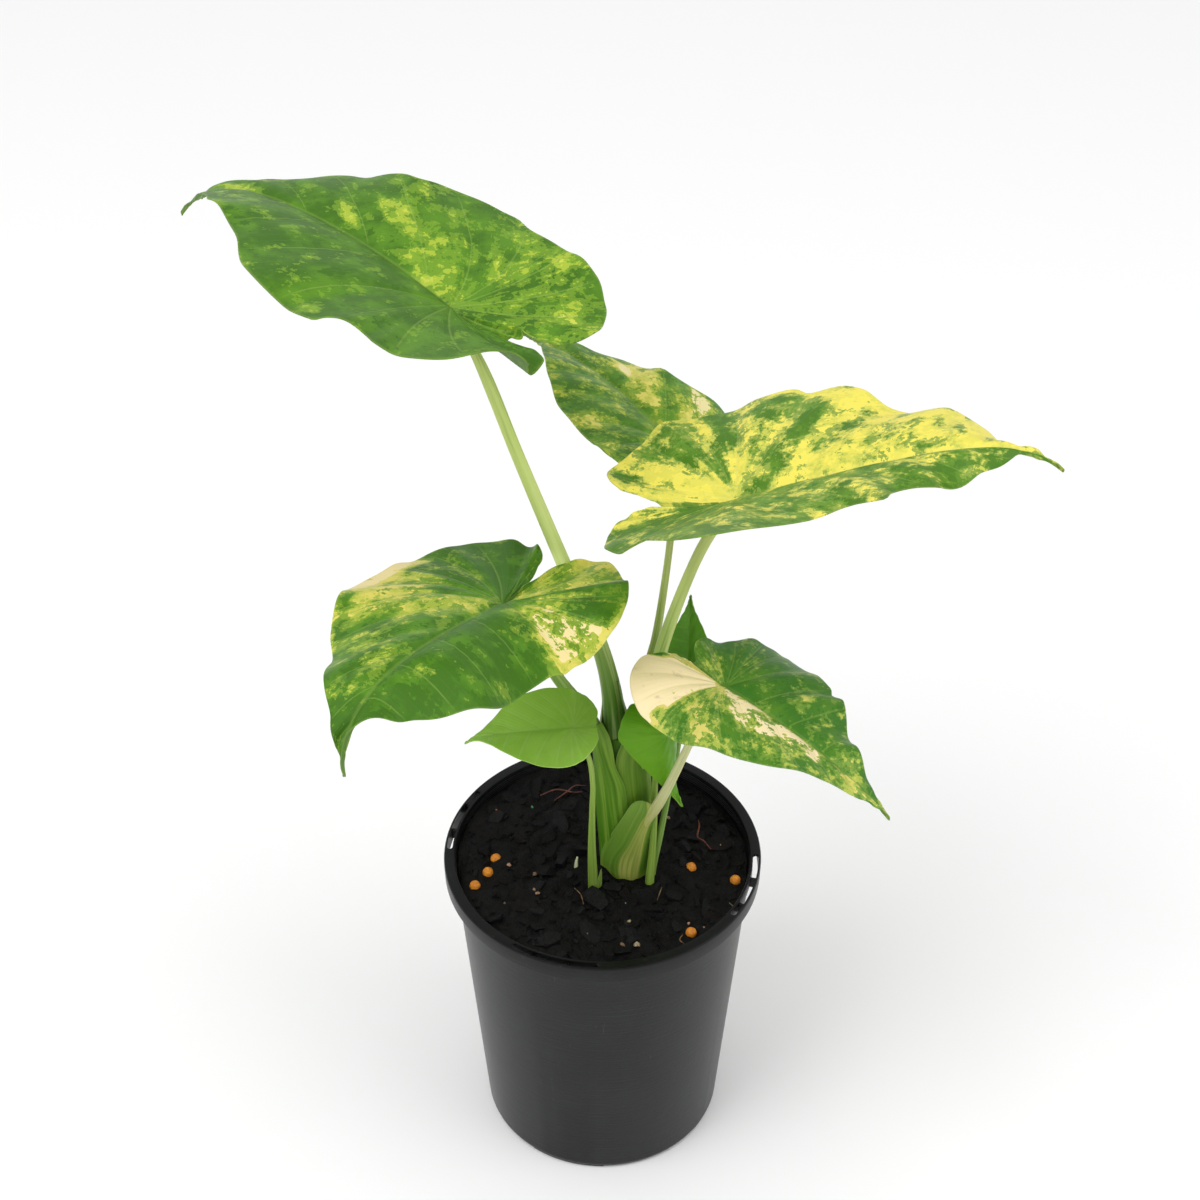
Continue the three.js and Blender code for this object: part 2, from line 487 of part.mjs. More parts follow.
const LEAVES = {
  leaf_a: {
    colour: 0x4c8a33,
    attach: [-58.5, 33, 416.5],
    turn: [133.5, 9.5, 11.5],
    length: 175,
    lobes: [61.5, 52.5],
    widths: [67.5, 66],
    notch: 0.55,
    bend: 25,
    tipBend: 47.5,
    fold: 17,
    cup: -5.5,
    lobeDroop: -14,
    lift: [
      [-2, -3, -5, -3, 0, -5, -6, -5, 4, 0, 2, 8, 11, -1, 7, 8, 0],
      [-1, 0, -1, -5, -7, -3, -5, -1, 3, 2, -2, -2, 0, 0, 5, 4, 9],
    ],
    reach: [
      [0.98, 0.98, 1, 1.04, 1.03, 1.02, 1.12, 1.12, 1, 0.98, 1.04, 1.01, 0.98, 0.97, 1.01, 0.94, 1],
      [1.03, 1.01, 0.92, 1.02, 1.16, 1.1, 1.05, 0.9, 0.85, 0.9, 0.94, 0.97, 0.96, 0.87, 0.72, 0.86, 0.87],
    ],
    rib: 2,
    petiole: {
      points: [
        [9, 2.5, 200], [5.8, 1.4, 219], [3.7, 2, 245.7], [-1.3, 4, 268.8], [-16.1, 9, 308.8],
        [-33, 16, 355], [-49.4, 23, 400.8],
      ],
      radii: [4.4, 5, 3.9, 3.4, 3, 2.8, 2.6, 2.4, 1.1],
      sides: 8,
      rings: 14,
    },
  },
  leaf_b: {
    colour: 0x5f9636,
    attach: [-39.5, -32, 321.5],
    turn: [240, 22, 9.5],
    length: 131.5,
    lobes: [52.5, 53.5],
    widths: [54, 56.5],
    notch: 0.1,
    bend: 13.5,
    tipBend: 102.5,
    fold: 13,
    cup: -14.5,
    lobeDroop: -2.5,
    lift: [
      [4, 7, -3, -14, -16, -22, -18, -15, -4, 2, 6, 3, 4, 4, 6, 5, 3],
      [-1, 3, 0, -2, -8, -6, 4, 3, 6, 5, 6, 6, 7, 6, 6, 2, 0],
    ],
    reach: [
      [0.93, 0.9, 0.96, 1.02, 1, 0.85, 0.78, 0.81, 0.86, 0.88, 0.89, 0.91, 0.97, 1.02, 1.03, 1.04, 1.02],
      [1.04, 1.07, 1.12, 1.11, 1, 1.05, 1.06, 1.03, 0.99, 0.98, 0.99, 0.99, 0.97, 0.96, 0.94, 0.93, 0.95],
    ],
    rib: 1.8,
    petiole: {
      points: [
        [2.4, -3.6, 197], [0.2, -4.9, 212], [-1.4, -5.7, 222], [-3.2, -6.5, 234], [-17.6, -9, 260.5], [-30, -19, 295],
      ],
      radii: [3.4, 3.8, 3, 2.6, 2.4, 2.2, 1],
      rings: 11,
    },
  },
  leaf_c: {
    colour: 0x5a9431,
    attach: [32, 66, 324],
    turn: [119.5, 7, 21],
    length: 125,
    lobes: [45, 45],
    widths: [47.5, 47.5],
    notch: 0.35,
    bend: 25.5,
    tipBend: -3,
    fold: 16.5,
    cup: -12,
    lobeDroop: 17,
    lift: [
      [-1, -1, -1, 0, 0, -2, -4, -2, 1, 2, 2, 1, 0, 0, 0, 0, 0],
      [2, 3, 1, -2, -3, 0, -1, -3, -2, -1, 0, 0, 0, 0, 0, 0, 0],
    ],
    reach: [
      [1, 0.99, 0.98, 0.98, 1.01, 1.03, 1.03, 1, 0.97, 0.97, 0.97, 0.99, 1, 1, 1, 1, 1],
      [1, 1, 0.99, 0.99, 0.99, 0.92, 0.97, 0.98, 0.99, 1, 1, 1, 1, 1, 1, 1, 1],
    ],
    rib: 1.6,
    petiole: {
      points: [[14, 6, 204], [17.5, 6.5, 235], [19.8, 7, 258], [22.2, 11, 267.5], [27.9, 28, 305]],
      radii: [2.2, 2.2, 2, 1.7, 1.5, 1.5, 0.9],
      rings: 11,
    },
  },
  leaf_d: {
    colour: 0xb9bf4c,
    attach: [51.5, -10, 356],
    turn: [-11, 26, -4.5],
    length: 132.5,
    lobes: [54.5, 53],
    widths: [55.5, 57.5],
    notch: 0.55,
    bend: 6,
    tipBend: 62.5,
    fold: 21.5,
    cup: -10.5,
    lobeDroop: -37,
    lift: [
      [-1, -1, -11, -13, -13, -15, -8, -1, -4, -2, -1, -4, -5, -2, 0, 2, 1],
      [-1, -1, -7, -12, -5, -5, 1, 14, 16, 9, -2, -8, -12, -9, -6, -2, 0],
    ],
    reach: [
      [0.96, 1.03, 1.22, 1.29, 1.28, 1.15, 1.25, 1.11, 1.11, 1.03, 1.04, 0.96, 0.96, 1, 0.97, 0.97, 0.96],
      [0.91, 0.83, 0.83, 0.94, 1.06, 0.95, 1.05, 1.21, 1.14, 1.04, 0.98, 0.99, 0.93, 0.92, 0.92, 0.93, 0.96],
    ],
    rib: 1.8,
    petiole: {
      points: [[15, -2, 204], [19.5, -1, 238], [22.6, 0, 260], [25.5, 0.5, 275], [41.2, -4, 330.4]],
      radii: [3.2, 3.2, 3.1, 2.8, 2.5, 2.3, 2.2, 1],
      rings: 11,
    },
  },
  leaf_e: {
    colour: 0x9db652,
    attach: [49, -38, 283.5],
    turn: [-42.5, -1.5, -9.5],
    length: 87.5,
    lobes: [22.5, 27],
    widths: [41.5, 43],
    notch: 0.75,
    bend: 15,
    tipBend: 13.5,
    fold: 17.5,
    cup: -20.5,
    lobeDroop: -13.5,
    lift: [
      [0, -1, -2, 0, -6, -3, 0, -4, -4, -3, -1, -3, -2, 2, 3, 2, 1],
      [0, -1, -2, 0, 3, -1, -1, -4, -1, 0, 2, 1, -1, -1, -1, -1, 0],
    ],
    reach: [
      [1, 0.95, 0.83, 0.83, 0.92, 1.05, 1, 1.09, 1.07, 1.03, 0.99, 0.95, 0.94, 1.01, 1.03, 0.95, 0.89],
      [1, 0.98, 0.94, 0.95, 1.05, 0.98, 0.95, 0.91, 0.94, 0.98, 1.05, 1.1, 1.09, 1.04, 1.01, 1, 1],
    ],
    rib: 1.3,
    petiole: {
      points: [
        [10.3, -0.6, 118], [10.3, -1.2, 146], [11.9, -3.2, 160], [13.2, -5.4, 170], [15.7, -8.3, 180],
        [19.7, -12.4, 190], [24.7, -19.2, 207.8], [29.8, -24, 225.8], [35.1, -28.3, 243.5], [41.4, -33, 262.6],
      ],
      radii: [7.8, 7.8, 7.6, 6.5, 4.3, 2.8, 2.3, 1.9, 1.7, 1.6, 1.45, 1.4, 0.8],
      wide: [1.35, 1.38, 1.38, 1.36, 1.33, 1.15, 1.05, 1, 1, 1, 1, 1, 1],
      sides: 12,
      rings: 19,
    },
  },
  leaf_f: {
    small: true,
    colour: 0x4f8f2c,
    attach: [-12.5, -40, 263.5],
    turn: [179.5, -7, -1.5],
    length: 45,
    lobes: [11, 10.5],
    widths: [25, 20],
    notch: 0.9,
    bend: 1,
    tipBend: 36.5,
    fold: 17,
    cup: -12.5,
    lobeDroop: 12.5,
    lift: [[0, 0, -2, -2, 1, 1, 0, 1, 0], [0, 0, 4, 3, -2, -3, -2, 0, 0]],
    reach: [EVEN, EVEN],
    rib: 0.9,
    petiole: {
      points: [
        [-3.7, -14.6, 127], [-3.7, -15, 145.5], [-4.4, -19, 174.7], [-4.3, -25, 204.4],
        [-4.1, -29.5, 221.5], [-5.8, -34, 241],
      ],
      radii: [2.8, 2.7, 2.3, 1.9, 1.6, 1.4, 0.7],
      rings: 12,
    },
  },
  leaf_g: {
    small: true,
    colour: 0x56952f,
    attach: [28.2, -13.5, 234.7],
    turn: [340.5, -81.5, 13],
    length: 40.5,
    lobes: [13, 15],
    widths: [16.5, 14.5],
    notch: 0.2,
    bend: 16.5,
    tipBend: -62.5,
    fold: -7,
    cup: -26.5,
    lobeDroop: 43,
    lift: [[5.5, -3.5, -1, 1.5, 0, 0, 2, 0, 0], [1, -0.5, -5, -3.5, -6.5, -3, -1.5, -2.5, 0.5]],
    reach: [
      [1.05, 0.99, 1.03, 1.01, 0.99, 0.94, 0.89, 0.94, 1],
      [0.95, 0.9, 0.9, 1.07, 1.17, 1.25, 1.25, 1.22, 1.04],
    ],
    rib: 0.8,
    petiole: {
      points: [
        [20.7, -12.3, 127], [20.7, -12.3, 145.5], [21.8, -9.2, 162.6], [22.4, -6.4, 182], [22.4, -5.4, 193],
        [22.8, -7.5, 212], [24.8, -10.5, 226],
      ],
      radii: [2, 2, 1.6, 1.4, 1.3, 1.2, 0.7],
      rings: 11,
    },
  },
  leaf_h: {
    small: true,
    colour: 0x3b7423,
    attach: [36, 17, 241],
    turn: [86, 60, 0],
    length: 34,
    lobes: [11, 11],
    widths: [12.5, 12.5],
    notch: 0.4,
    bend: 4,
    tipBend: 12,
    fold: 24,
    cup: -10,
    lobeDroop: 10,
    lift: [FLAT, FLAT],
    reach: [EVEN, EVEN],
    rib: 0.8,
    petiole: {
      points: [[21.6, -7.2, 127], [21.6, -7.3, 145.5], [25, -5.8, 168], [27.9, -1.5, 184.6], [31.8, 5, 205]],
      radii: [1.8, 1.8, 1.5, 1.3, 1.2, 1.1, 0.7],
      rings: 11,
    },
  },
};

// The wrapped leaf sheaths that stand as the plant's stem, with the corm at their foot in the mix.
const PSEUDOSTEM = {
  points: [
    [10.5, 2, 112], [10.5, 2, 132], [10.4, 2, 156], [9.6, 1.8, 180], [8.8, 1.4, 200], [8, 1, 214], [7.6, 0.8, 223],
  ],
  radii: [5, 8.6, 8.5, 8.4, 8.3, 8.2, 7.6, 5],
  wide: [1.1, 1.13, 1.26, 1.35, 1.42, 1.44, 1.4, 1.2],
  sides: 16,
  rings: 13,
};

const SPROUT = {
  points: [[-11.8, -4.4, 134], [-11.7, -4, 145.5], [-11.5, -3.8, 150], [-11, -3.6, 153]],
  radii: [0.9, 1, 0.9, 0.35],
  sides: 6,
  rings: 6,
};

const PRILLS = [[-47.3, 2.3], [-50.5, -7], [-55.9, -15.6], [58.3, -12.9], [38, -45], [39.1, -3.9]];

// Growing mix
const chipDraw = seededRandom(7);
const chips = Array.from({ length: CHIP_COUNT }, () => ({
  x: (2 * chipDraw() - 1) * RIM_RADIUS,
  y: (2 * chipDraw() - 1) * RIM_RADIUS,
  height: (2 * chipDraw() - 1) * CHIP_RELIEF,
  slopeX: (2 * chipDraw() - 1) * CHIP_TILT,
  slopeY: (2 * chipDraw() - 1) * CHIP_TILT,
}));

function mixHeight(x, y) {
  let nearest = chips[0];
  for (const chip of chips) {
    if (Math.hypot(chip.x - x, chip.y - y) < Math.hypot(nearest.x - x, nearest.y - y)) {
      nearest = chip;
    }
  }
  const relief = nearest.height + nearest.slopeX * (x - nearest.x) + nearest.slopeY * (y - nearest.y);
  const offset = Math.hypot(x - HOLLOW.x, y - HOLLOW.y) / HOLLOW.radius;
  return MIX_LEVEL + relief - HOLLOW.depth * Math.exp(-offset * offset);
}

function reliefColumn() {
  const cells = Math.ceil((2 * RIM_RADIUS) / MIX_STEP);
  const geometry = new THREE.BoxGeometry(2 * RIM_RADIUS, 2 * RIM_RADIUS, POT_HEIGHT, cells, cells, 1);
  const position = geometry.attributes.position;
  for (let i = 0; i < position.count; i += 1) {
    const top = position.getZ(i) > 0;
    position.setZ(i, top ? mixHeight(position.getX(i), position.getY(i)) : -MIX_STEP);
  }
  return toSolid(geometry);
}

function potCavity() {
  return lathe([
    [0, FLOOR + CLEARANCE],
    [BASE_RADIUS - WALL - 2.2 - CLEARANCE, FLOOR + CLEARANCE],
    [BASE_RADIUS - WALL - CLEARANCE, 6 + CLEARANCE],
    [ledgeInner[0] - CLEARANCE, ledgeInner[1] + 0.2],
    [ledgeInner[0] + 0.2 - CLEARANCE, ledgeInner[1] + 1.7 + CLEARANCE],
    [bandInner[0] - CLEARANCE, bandInner[1] + CLEARANCE + 0.1],
    [bandInner[0] - CLEARANCE, POT_HEIGHT],
    [0, POT_HEIGHT],
  ], POT_SIDES);
}

function prillBall([x, y], grow = 0) {
  const geometry = new THREE.IcosahedronGeometry(PRILL_RADIUS + grow, 1);
  geometry.translate(x, y, mixHeight(x, y) + PRILL_LIFT * PRILL_RADIUS);
  return toSolid(geometry);
}

function mixSolid() {
  const rooted = ["leaf_e", "leaf_f", "leaf_g", "leaf_h"];
  const holes = [
    toSolid(stalk({ ...PSEUDOSTEM, grow: CLEARANCE })),
    toSolid(stalk({ ...SPROUT, grow: CLEARANCE })),
    ...rooted.map((name) => petiole(LEAVES[name], CLEARANCE)),
    ...FEATURE_ANGLES.map((angle) => notchRoof(angle, CLEARANCE)),
    ...PRILLS.map((place) => prillBall(place, CLEARANCE)),
  ];
  return mainBody(cut(reliefColumn().intersect(potCavity()), holes));
}

// Stem and leaves, each clear of the one that it is tucked into
function stemSolid() {
  const tucked = ["leaf_a", "leaf_b", "leaf_c", "leaf_d"];
  const sockets = tucked.map((name) => petiole(LEAVES[name], CLEARANCE));
  return mainBody(cut(toSolid(stalk(PSEUDOSTEM)), sockets));
}

function leafBody(name) {
  const leaf = leafSolid(LEAVES[name]);
  const wrapsStem = name === "leaf_e";
  return mainBody(wrapsStem ? leaf.subtract(toSolid(stalk({ ...PSEUDOSTEM, grow: CLEARANCE }))) : leaf);
}

// Assembly
const group = new THREE.Group();

function addPart(name, solid, { color, roughness }) {
  const material = new THREE.MeshStandardMaterial({ color, roughness, metalness: 0 });
  const mesh = new THREE.Mesh(toGeometry(solid), material);
  mesh.name = name;
  group.add(mesh);
}

addPart("pot", potSolid(), { color: 0x32343a, roughness: 0.45 });
addPart("growing_mix", mixSolid(), { color: 0x1c1917, roughness: 0.95 });
addPart("pseudostem", stemSolid(), { color: 0x6fa03f, roughness: 0.45 });
for (const [name, leaf] of Object.entries(LEAVES)) {
  addPart(name, leafBody(name), { color: leaf.colour, roughness: 0.4 });
}
addPart("sprout", toSolid(stalk(SPROUT)), { color: 0xd9dfae, roughness: 0.5 });
PRILLS.forEach((place, i) => {
  addPart(`prill_${i + 1}`, prillBall(place), { color: 0xc4751c, roughness: 0.6 });
});

export default group;
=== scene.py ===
"""Dresses a potted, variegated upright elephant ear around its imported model.

The plant stands in a round nursery pot of dark plastic filled with composted bark. Sizes are in
millimetres, as on the bench, and are turned to metres where a mesh is made. +Z is up, the origin is
the middle of the pot's underside, and the plant is looked at from the -Y side.
"""

import logging
import math
from dataclasses import dataclass, field
from enum import Enum
from typing import Callable, Sequence, Union

import bpy
import numpy as np
from mathutils import Matrix, Vector, noise
from mathutils.bvhtree import BVHTree


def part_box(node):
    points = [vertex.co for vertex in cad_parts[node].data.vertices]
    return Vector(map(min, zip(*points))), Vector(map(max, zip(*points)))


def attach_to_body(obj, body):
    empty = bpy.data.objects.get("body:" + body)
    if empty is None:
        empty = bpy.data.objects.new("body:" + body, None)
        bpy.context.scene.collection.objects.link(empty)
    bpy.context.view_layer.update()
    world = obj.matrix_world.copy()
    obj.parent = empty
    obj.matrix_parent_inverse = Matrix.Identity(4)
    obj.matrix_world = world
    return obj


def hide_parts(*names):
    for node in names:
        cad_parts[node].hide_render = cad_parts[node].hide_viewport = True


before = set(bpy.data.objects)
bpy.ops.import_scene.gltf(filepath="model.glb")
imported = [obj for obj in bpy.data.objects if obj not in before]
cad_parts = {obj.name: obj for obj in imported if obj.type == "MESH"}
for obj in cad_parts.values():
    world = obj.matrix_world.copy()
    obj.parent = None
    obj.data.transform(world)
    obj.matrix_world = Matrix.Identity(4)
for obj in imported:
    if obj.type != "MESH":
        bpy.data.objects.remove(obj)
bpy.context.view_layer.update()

MM = 0.001
BODY = "root"
log = logging.getLogger("elephant_ear")

Triple = tuple[float, float, float]
Number = Union[float, "Wire"]


def linear(swatch: str, strength: float = 1.0) -> tuple[float, float, float, float]:
    """A colour written as on a swatch card, as the linear values that a shader takes."""
    channels = [int(swatch[i:i + 2], 16) / 255 for i in (0, 2, 4)]
    light = [c / 12.92 if c <= 0.04045 else ((c + 0.055) / 1.055) ** 2.4 for c in channels]
    return (light[0] * strength, light[1] * strength, light[2] * strength, 1.0)


# Materials


class Wire:
    """A socket that takes part in Python arithmetic; each step adds its Math node."""

    def __init__(self, recipe: "Recipe", socket: bpy.types.NodeSocket) -> None:
        """Holds the socket and the recipe whose tree it belongs to."""
        self.recipe = recipe
        self.socket = socket

    def _math(self, operation: str, *terms: Number) -> "Wire":
        """Adds one Math node over the given terms."""
        node = self.recipe.node("ShaderNodeMath", {"operation": operation}, dict(enumerate(terms)))
        return Wire(self.recipe, node.outputs[0])

    def __add__(self, other: Number) -> "Wire":
        """Sum."""
        return self._math("ADD", self, other)

    __radd__ = __add__

    def __sub__(self, other: Number) -> "Wire":
        """Difference."""
        return self._math("SUBTRACT", self, other)

    def __rsub__(self, other: Number) -> "Wire":
        """Difference from a number."""
        return self._math("SUBTRACT", other, self)

    def __mul__(self, other: Number) -> "Wire":
        """Product."""
        return self._math("MULTIPLY", self, other)

    __rmul__ = __mul__

    def __abs__(self) -> "Wire":
        """Size without its sign."""
        return self._math("ABSOLUTE", self)

    def most(self, other: Number) -> "Wire":
        """The larger of the two."""
        return self._math("MAXIMUM", self, other)

    def least(self, other: Number) -> "Wire":
        """The smaller of the two."""
        return self._math("MINIMUM", self, other)

    def off_whole(self) -> "Wire":
        """Distance to the nearest whole number."""
        return abs(self - self._math("ROUND", self))

    def step(self, low: float, high: float) -> "Wire":
        """Rises smoothly from 0 at low to 1 at high, or falls where low is the larger."""
        node = self.recipe.node(
            "ShaderNodeMapRange",
            {"interpolation_type": "SMOOTHSTEP", "clamp": True},
            {"Value": self, "From Min": min(low, high), "From Max": max(low, high)},
        )
        risen = Wire(self.recipe, node.outputs[0])
        return risen if high > low else 1 - risen


class Recipe:
    """A material while it is mixed: its node tree and the one method that adds a node."""

    def __init__(self, name: str) -> None:
        """Starts a material that holds only its output."""
        self.material = bpy.data.materials.new(name)
        self.material.use_nodes = True
        self.tree = self.material.node_tree
        self.tree.nodes.clear()
        self.output = self.tree.nodes.new("ShaderNodeOutputMaterial")

    def node(self, kind: str, settings: dict | None = None, inputs: dict | None = None) -> bpy.types.Node:
        """Adds a node.

        Args:
            kind: The node's type.
            settings: Its own settings; "stops" fills a ramp with places and colours.
            inputs: Values, wires or sockets for its inputs, by name or number.

        Returns:
            The new node.
        """
        node = self.tree.nodes.new(kind)
        for key, value in (settings or {}).items():
            if key == "stops":
                self._fill_ramp(node.color_ramp, value)
            else:
                setattr(node, key, value)
        for key, value in (inputs or {}).items():
            socket = node.inputs[key]
            if isinstance(value, Wire):
                self.tree.links.new(value.socket, socket)
            elif isinstance(value, bpy.types.NodeSocket):
                self.tree.links.new(value, socket)
            else:
                socket.default_value = value
        return node

    @staticmethod
    def _fill_ramp(ramp: bpy.types.ColorRamp, stops: Sequence[tuple[float, tuple]]) -> None:
        """Sets the stops of a colour ramp."""
        while len(ramp.elements) < len(stops):
            ramp.elements.new(1.0)
        for element, (place, colour) in zip(ramp.elements, stops):
            element.position = place
            element.color = colour

    def attribute(self, name: str) -> tuple[Wire, Wire, Wire]:
        """The three numbers of a named attribute of the mesh."""
        source = self.node("ShaderNodeAttribute", {"attribute_name": name})
        parts = self.node("ShaderNodeSeparateXYZ", None, {0: source.outputs["Vector"]})
        return tuple(Wire(self, output) for output in parts.outputs)

    def place(self) -> bpy.types.NodeSocket:
        """Object coordinates in millimetres."""
        source = self.node("ShaderNodeTexCoord")
        scaled = self.node("ShaderNodeVectorMath", {"operation": "SCALE"},
                           {0: source.outputs["Object"], "Scale": 1 / MM})
        return scaled.outputs[0]

    def stretch(self, vector: bpy.types.NodeSocket, scale: Triple) -> bpy.types.NodeSocket:
        """Scales a vector along its three axes."""
        return self.node("ShaderNodeMapping", None, {0: vector, 3: scale}).outputs[0]

    def vector(self, x: Number, y: Number, z: Number) -> bpy.types.NodeSocket:
        """Three numbers as one vector."""
        return self.node("ShaderNodeCombineXYZ", None, {0: x, 1: y, 2: z}).outputs[0]

    def grain(self, vector: bpy.types.NodeSocket, scale: float, detail: float = 2.0,
              roughness: float = 0.5, shift: float = 0.0) -> Wire:
        """Noise between 0 and 1, with shift picking another draw of it."""
        moved = self.node("ShaderNodeVectorMath", {"operation": "ADD"}, {0: vector, 1: (shift,) * 3})
        node = self.node("ShaderNodeTexNoise", {"noise_dimensions": "3D"}, {
            "Vector": moved.outputs[0], "Scale": scale, "Detail": detail, "Roughness": roughness})
        return Wire(self, node.outputs[0])

    def blend(self, share: Number, first: object, second: object) -> bpy.types.NodeSocket:
        """Mixes two colours."""
        node = self.node("ShaderNodeMix", {"data_type": "RGBA"}, {0: share, 6: first, 7: second})
        return node.outputs[2]

    def bump(self, height: Wire, depth: float, below: object = None) -> bpy.types.NodeSocket:
        """Turns a height between 0 and 1 into a normal; depth is in millimetres."""
        inputs = {"Height": height, "Distance": depth * MM, "Strength": 1.0}
        if below is not None:
            inputs["Normal"] = below
        return self.node("ShaderNodeBump", None, inputs).outputs[0]

    def finish(self, **inputs: object) -> bpy.types.Material:
        """Feeds the surface shader and gives the finished material."""
        named = {
            key.replace("_", " ").title().replace("Ior", "IOR"): value for key, value in inputs.items()}
        shader = self.node("ShaderNodeBsdfPrincipled", None, named)
        self.tree.links.new(shader.outputs[0], self.output.inputs[0])
        return self.material


@dataclass(frozen=True)
class PotPlastic:
    """Black nursery plastic, moulded with a fine satin skin, scuffed where it is handled, with painted
    shade at the rim.
    """

    colour: str = "08080a"
    worn: str = "131417"
    scuff: str = "7c7e82"
    rim_height: float = 146.0
    mark: Triple = (38.5, -40.3, 57.0)

    def mix(self) -> bpy.types.Material:
        """Builds the material."""
        recipe = Recipe("pot_plastic")
        place = recipe.place()
        parts = recipe.node("ShaderNodeSeparateXYZ", None, {0: place}).outputs
        height = Wire(recipe, parts[2])
        cloud = recipe.grain(place, 0.03, 4, 0.6)
        speck = recipe.grain(place, 0.55, 3, 0.7)
        rubbed = recipe.grain(place, 0.16, 6, 0.8)
        scratches = recipe.grain(recipe.stretch(place, (0.5, 0.5, 0.02)), 1.3, 3, 0.6)
        hoops = recipe.grain(recipe.stretch(place, (0.04, 0.04, 1.0)), 1.1, 2, 0.5, 4.0)
        at_rim = height.step(self.rim_height - 2, self.rim_height + 5)
        wear = (rubbed.step(0.58, 0.76) * (0.03 + 0.2 * at_rim) + scratches.step(0.66, 0.8) * 0.08
                + hoops.step(0.66, 0.8) * 0.04).least(1.0)
        away = recipe.node("ShaderNodeVectorMath", {"operation": "DISTANCE"}, {0: place, 1: self.mark})
        nick = (Wire(recipe, away.outputs[1]) + speck * 1.4).step(2.6, 1.9)
        base = recipe.blend(cloud.step(0.35, 0.7), linear(self.colour), linear(self.worn))
        colour = recipe.blend(wear, base, linear(self.scuff))
        colour = recipe.blend(nick, colour, linear("030303"))
        # Painted shade: the band at the rim is darkened towards black, though the plastic there is the same
        # as below.
        colour = recipe.blend(at_rim * 0.4, colour, linear("030304"))
        skin = recipe.bump(recipe.grain(place, 2.4, 2, 0.6), 0.04)
        dents = recipe.bump(hoops * 0.5 + speck * 0.5, 0.10, skin)
        return recipe.finish(
            base_color=colour, roughness=0.31 + 0.10 * cloud + 0.25 * wear + 0.3 * nick, normal=dents,
            specular_ior_level=0.25, sheen_weight=0.16, sheen_roughness=0.25)


class Bark(Enum):
    """The three sorts of composted bark in the mix, as colour and least roughness."""

    CHARRED = ("070606", 0.56)
    BROWN = ("100b09", 0.66)
    GREY = ("0d0d0e", 0.44)


@dataclass(frozen=True)
class BarkFinish:
    """Damp composted pine bark: nearly black, fibrous, with dull and shiny faces."""

    sort: Bark

    def mix(self) -> bpy.types.Material:
        """Builds the material."""
        colour, roughness = self.sort.value
        recipe = Recipe("bark_" + self.sort.name.lower())
        place = recipe.place()
        cloud = recipe.grain(place, 0.16, 3, 0.6)
        drawn_out = recipe.stretch(place, (0.5, 0.2, 1.2))
        fibre = recipe.grain(drawn_out, 1.6, 3, 0.65)
        dust = recipe.grain(place, 0.9, 4, 0.7)
        base = recipe.blend(cloud.step(0.3, 0.7), linear(colour, 0.5), linear(colour, 1.3))
        tinted = recipe.blend(dust.step(0.62, 0.82) * 0.3, base, linear("2c241d"))
        rough = recipe.bump(fibre, 0.6, recipe.bump(dust, 0.4))
        return recipe.finish(base_color=tinted, roughness=roughness + 0.3 * (1 - cloud), normal=rough,
                             specular_ior_level=0.2)


@dataclass(frozen=True)
class Palette:
    """The tones of one leaf, from its darkest tissue to its palest."""

    deep: str = "3f6a16"
    green: str = "57861f"
    light: str = "7aa02c"
    lime: str = "a0b638"
    yellow: str = "c8cf50"
    cream: str = "f2dfa6"
    vein: str = "93ad55"
    contrast: float = 0.9
    sheen: float = 0.16
    veins: float = 0.35
    bloom: float = 0.0


class Tone(Enum):
    """How pale a patch is, from 0 for the darkest tissue to 1 for cream; flecked is green and cream."""

    DARK = 0.24
    GREEN = 0.38
    LIGHT = 0.5
    LIME = 0.6
    GOLD = 0.7
    FLECKED = 0.62
    YELLOW = 0.8
    CREAM = 1.0


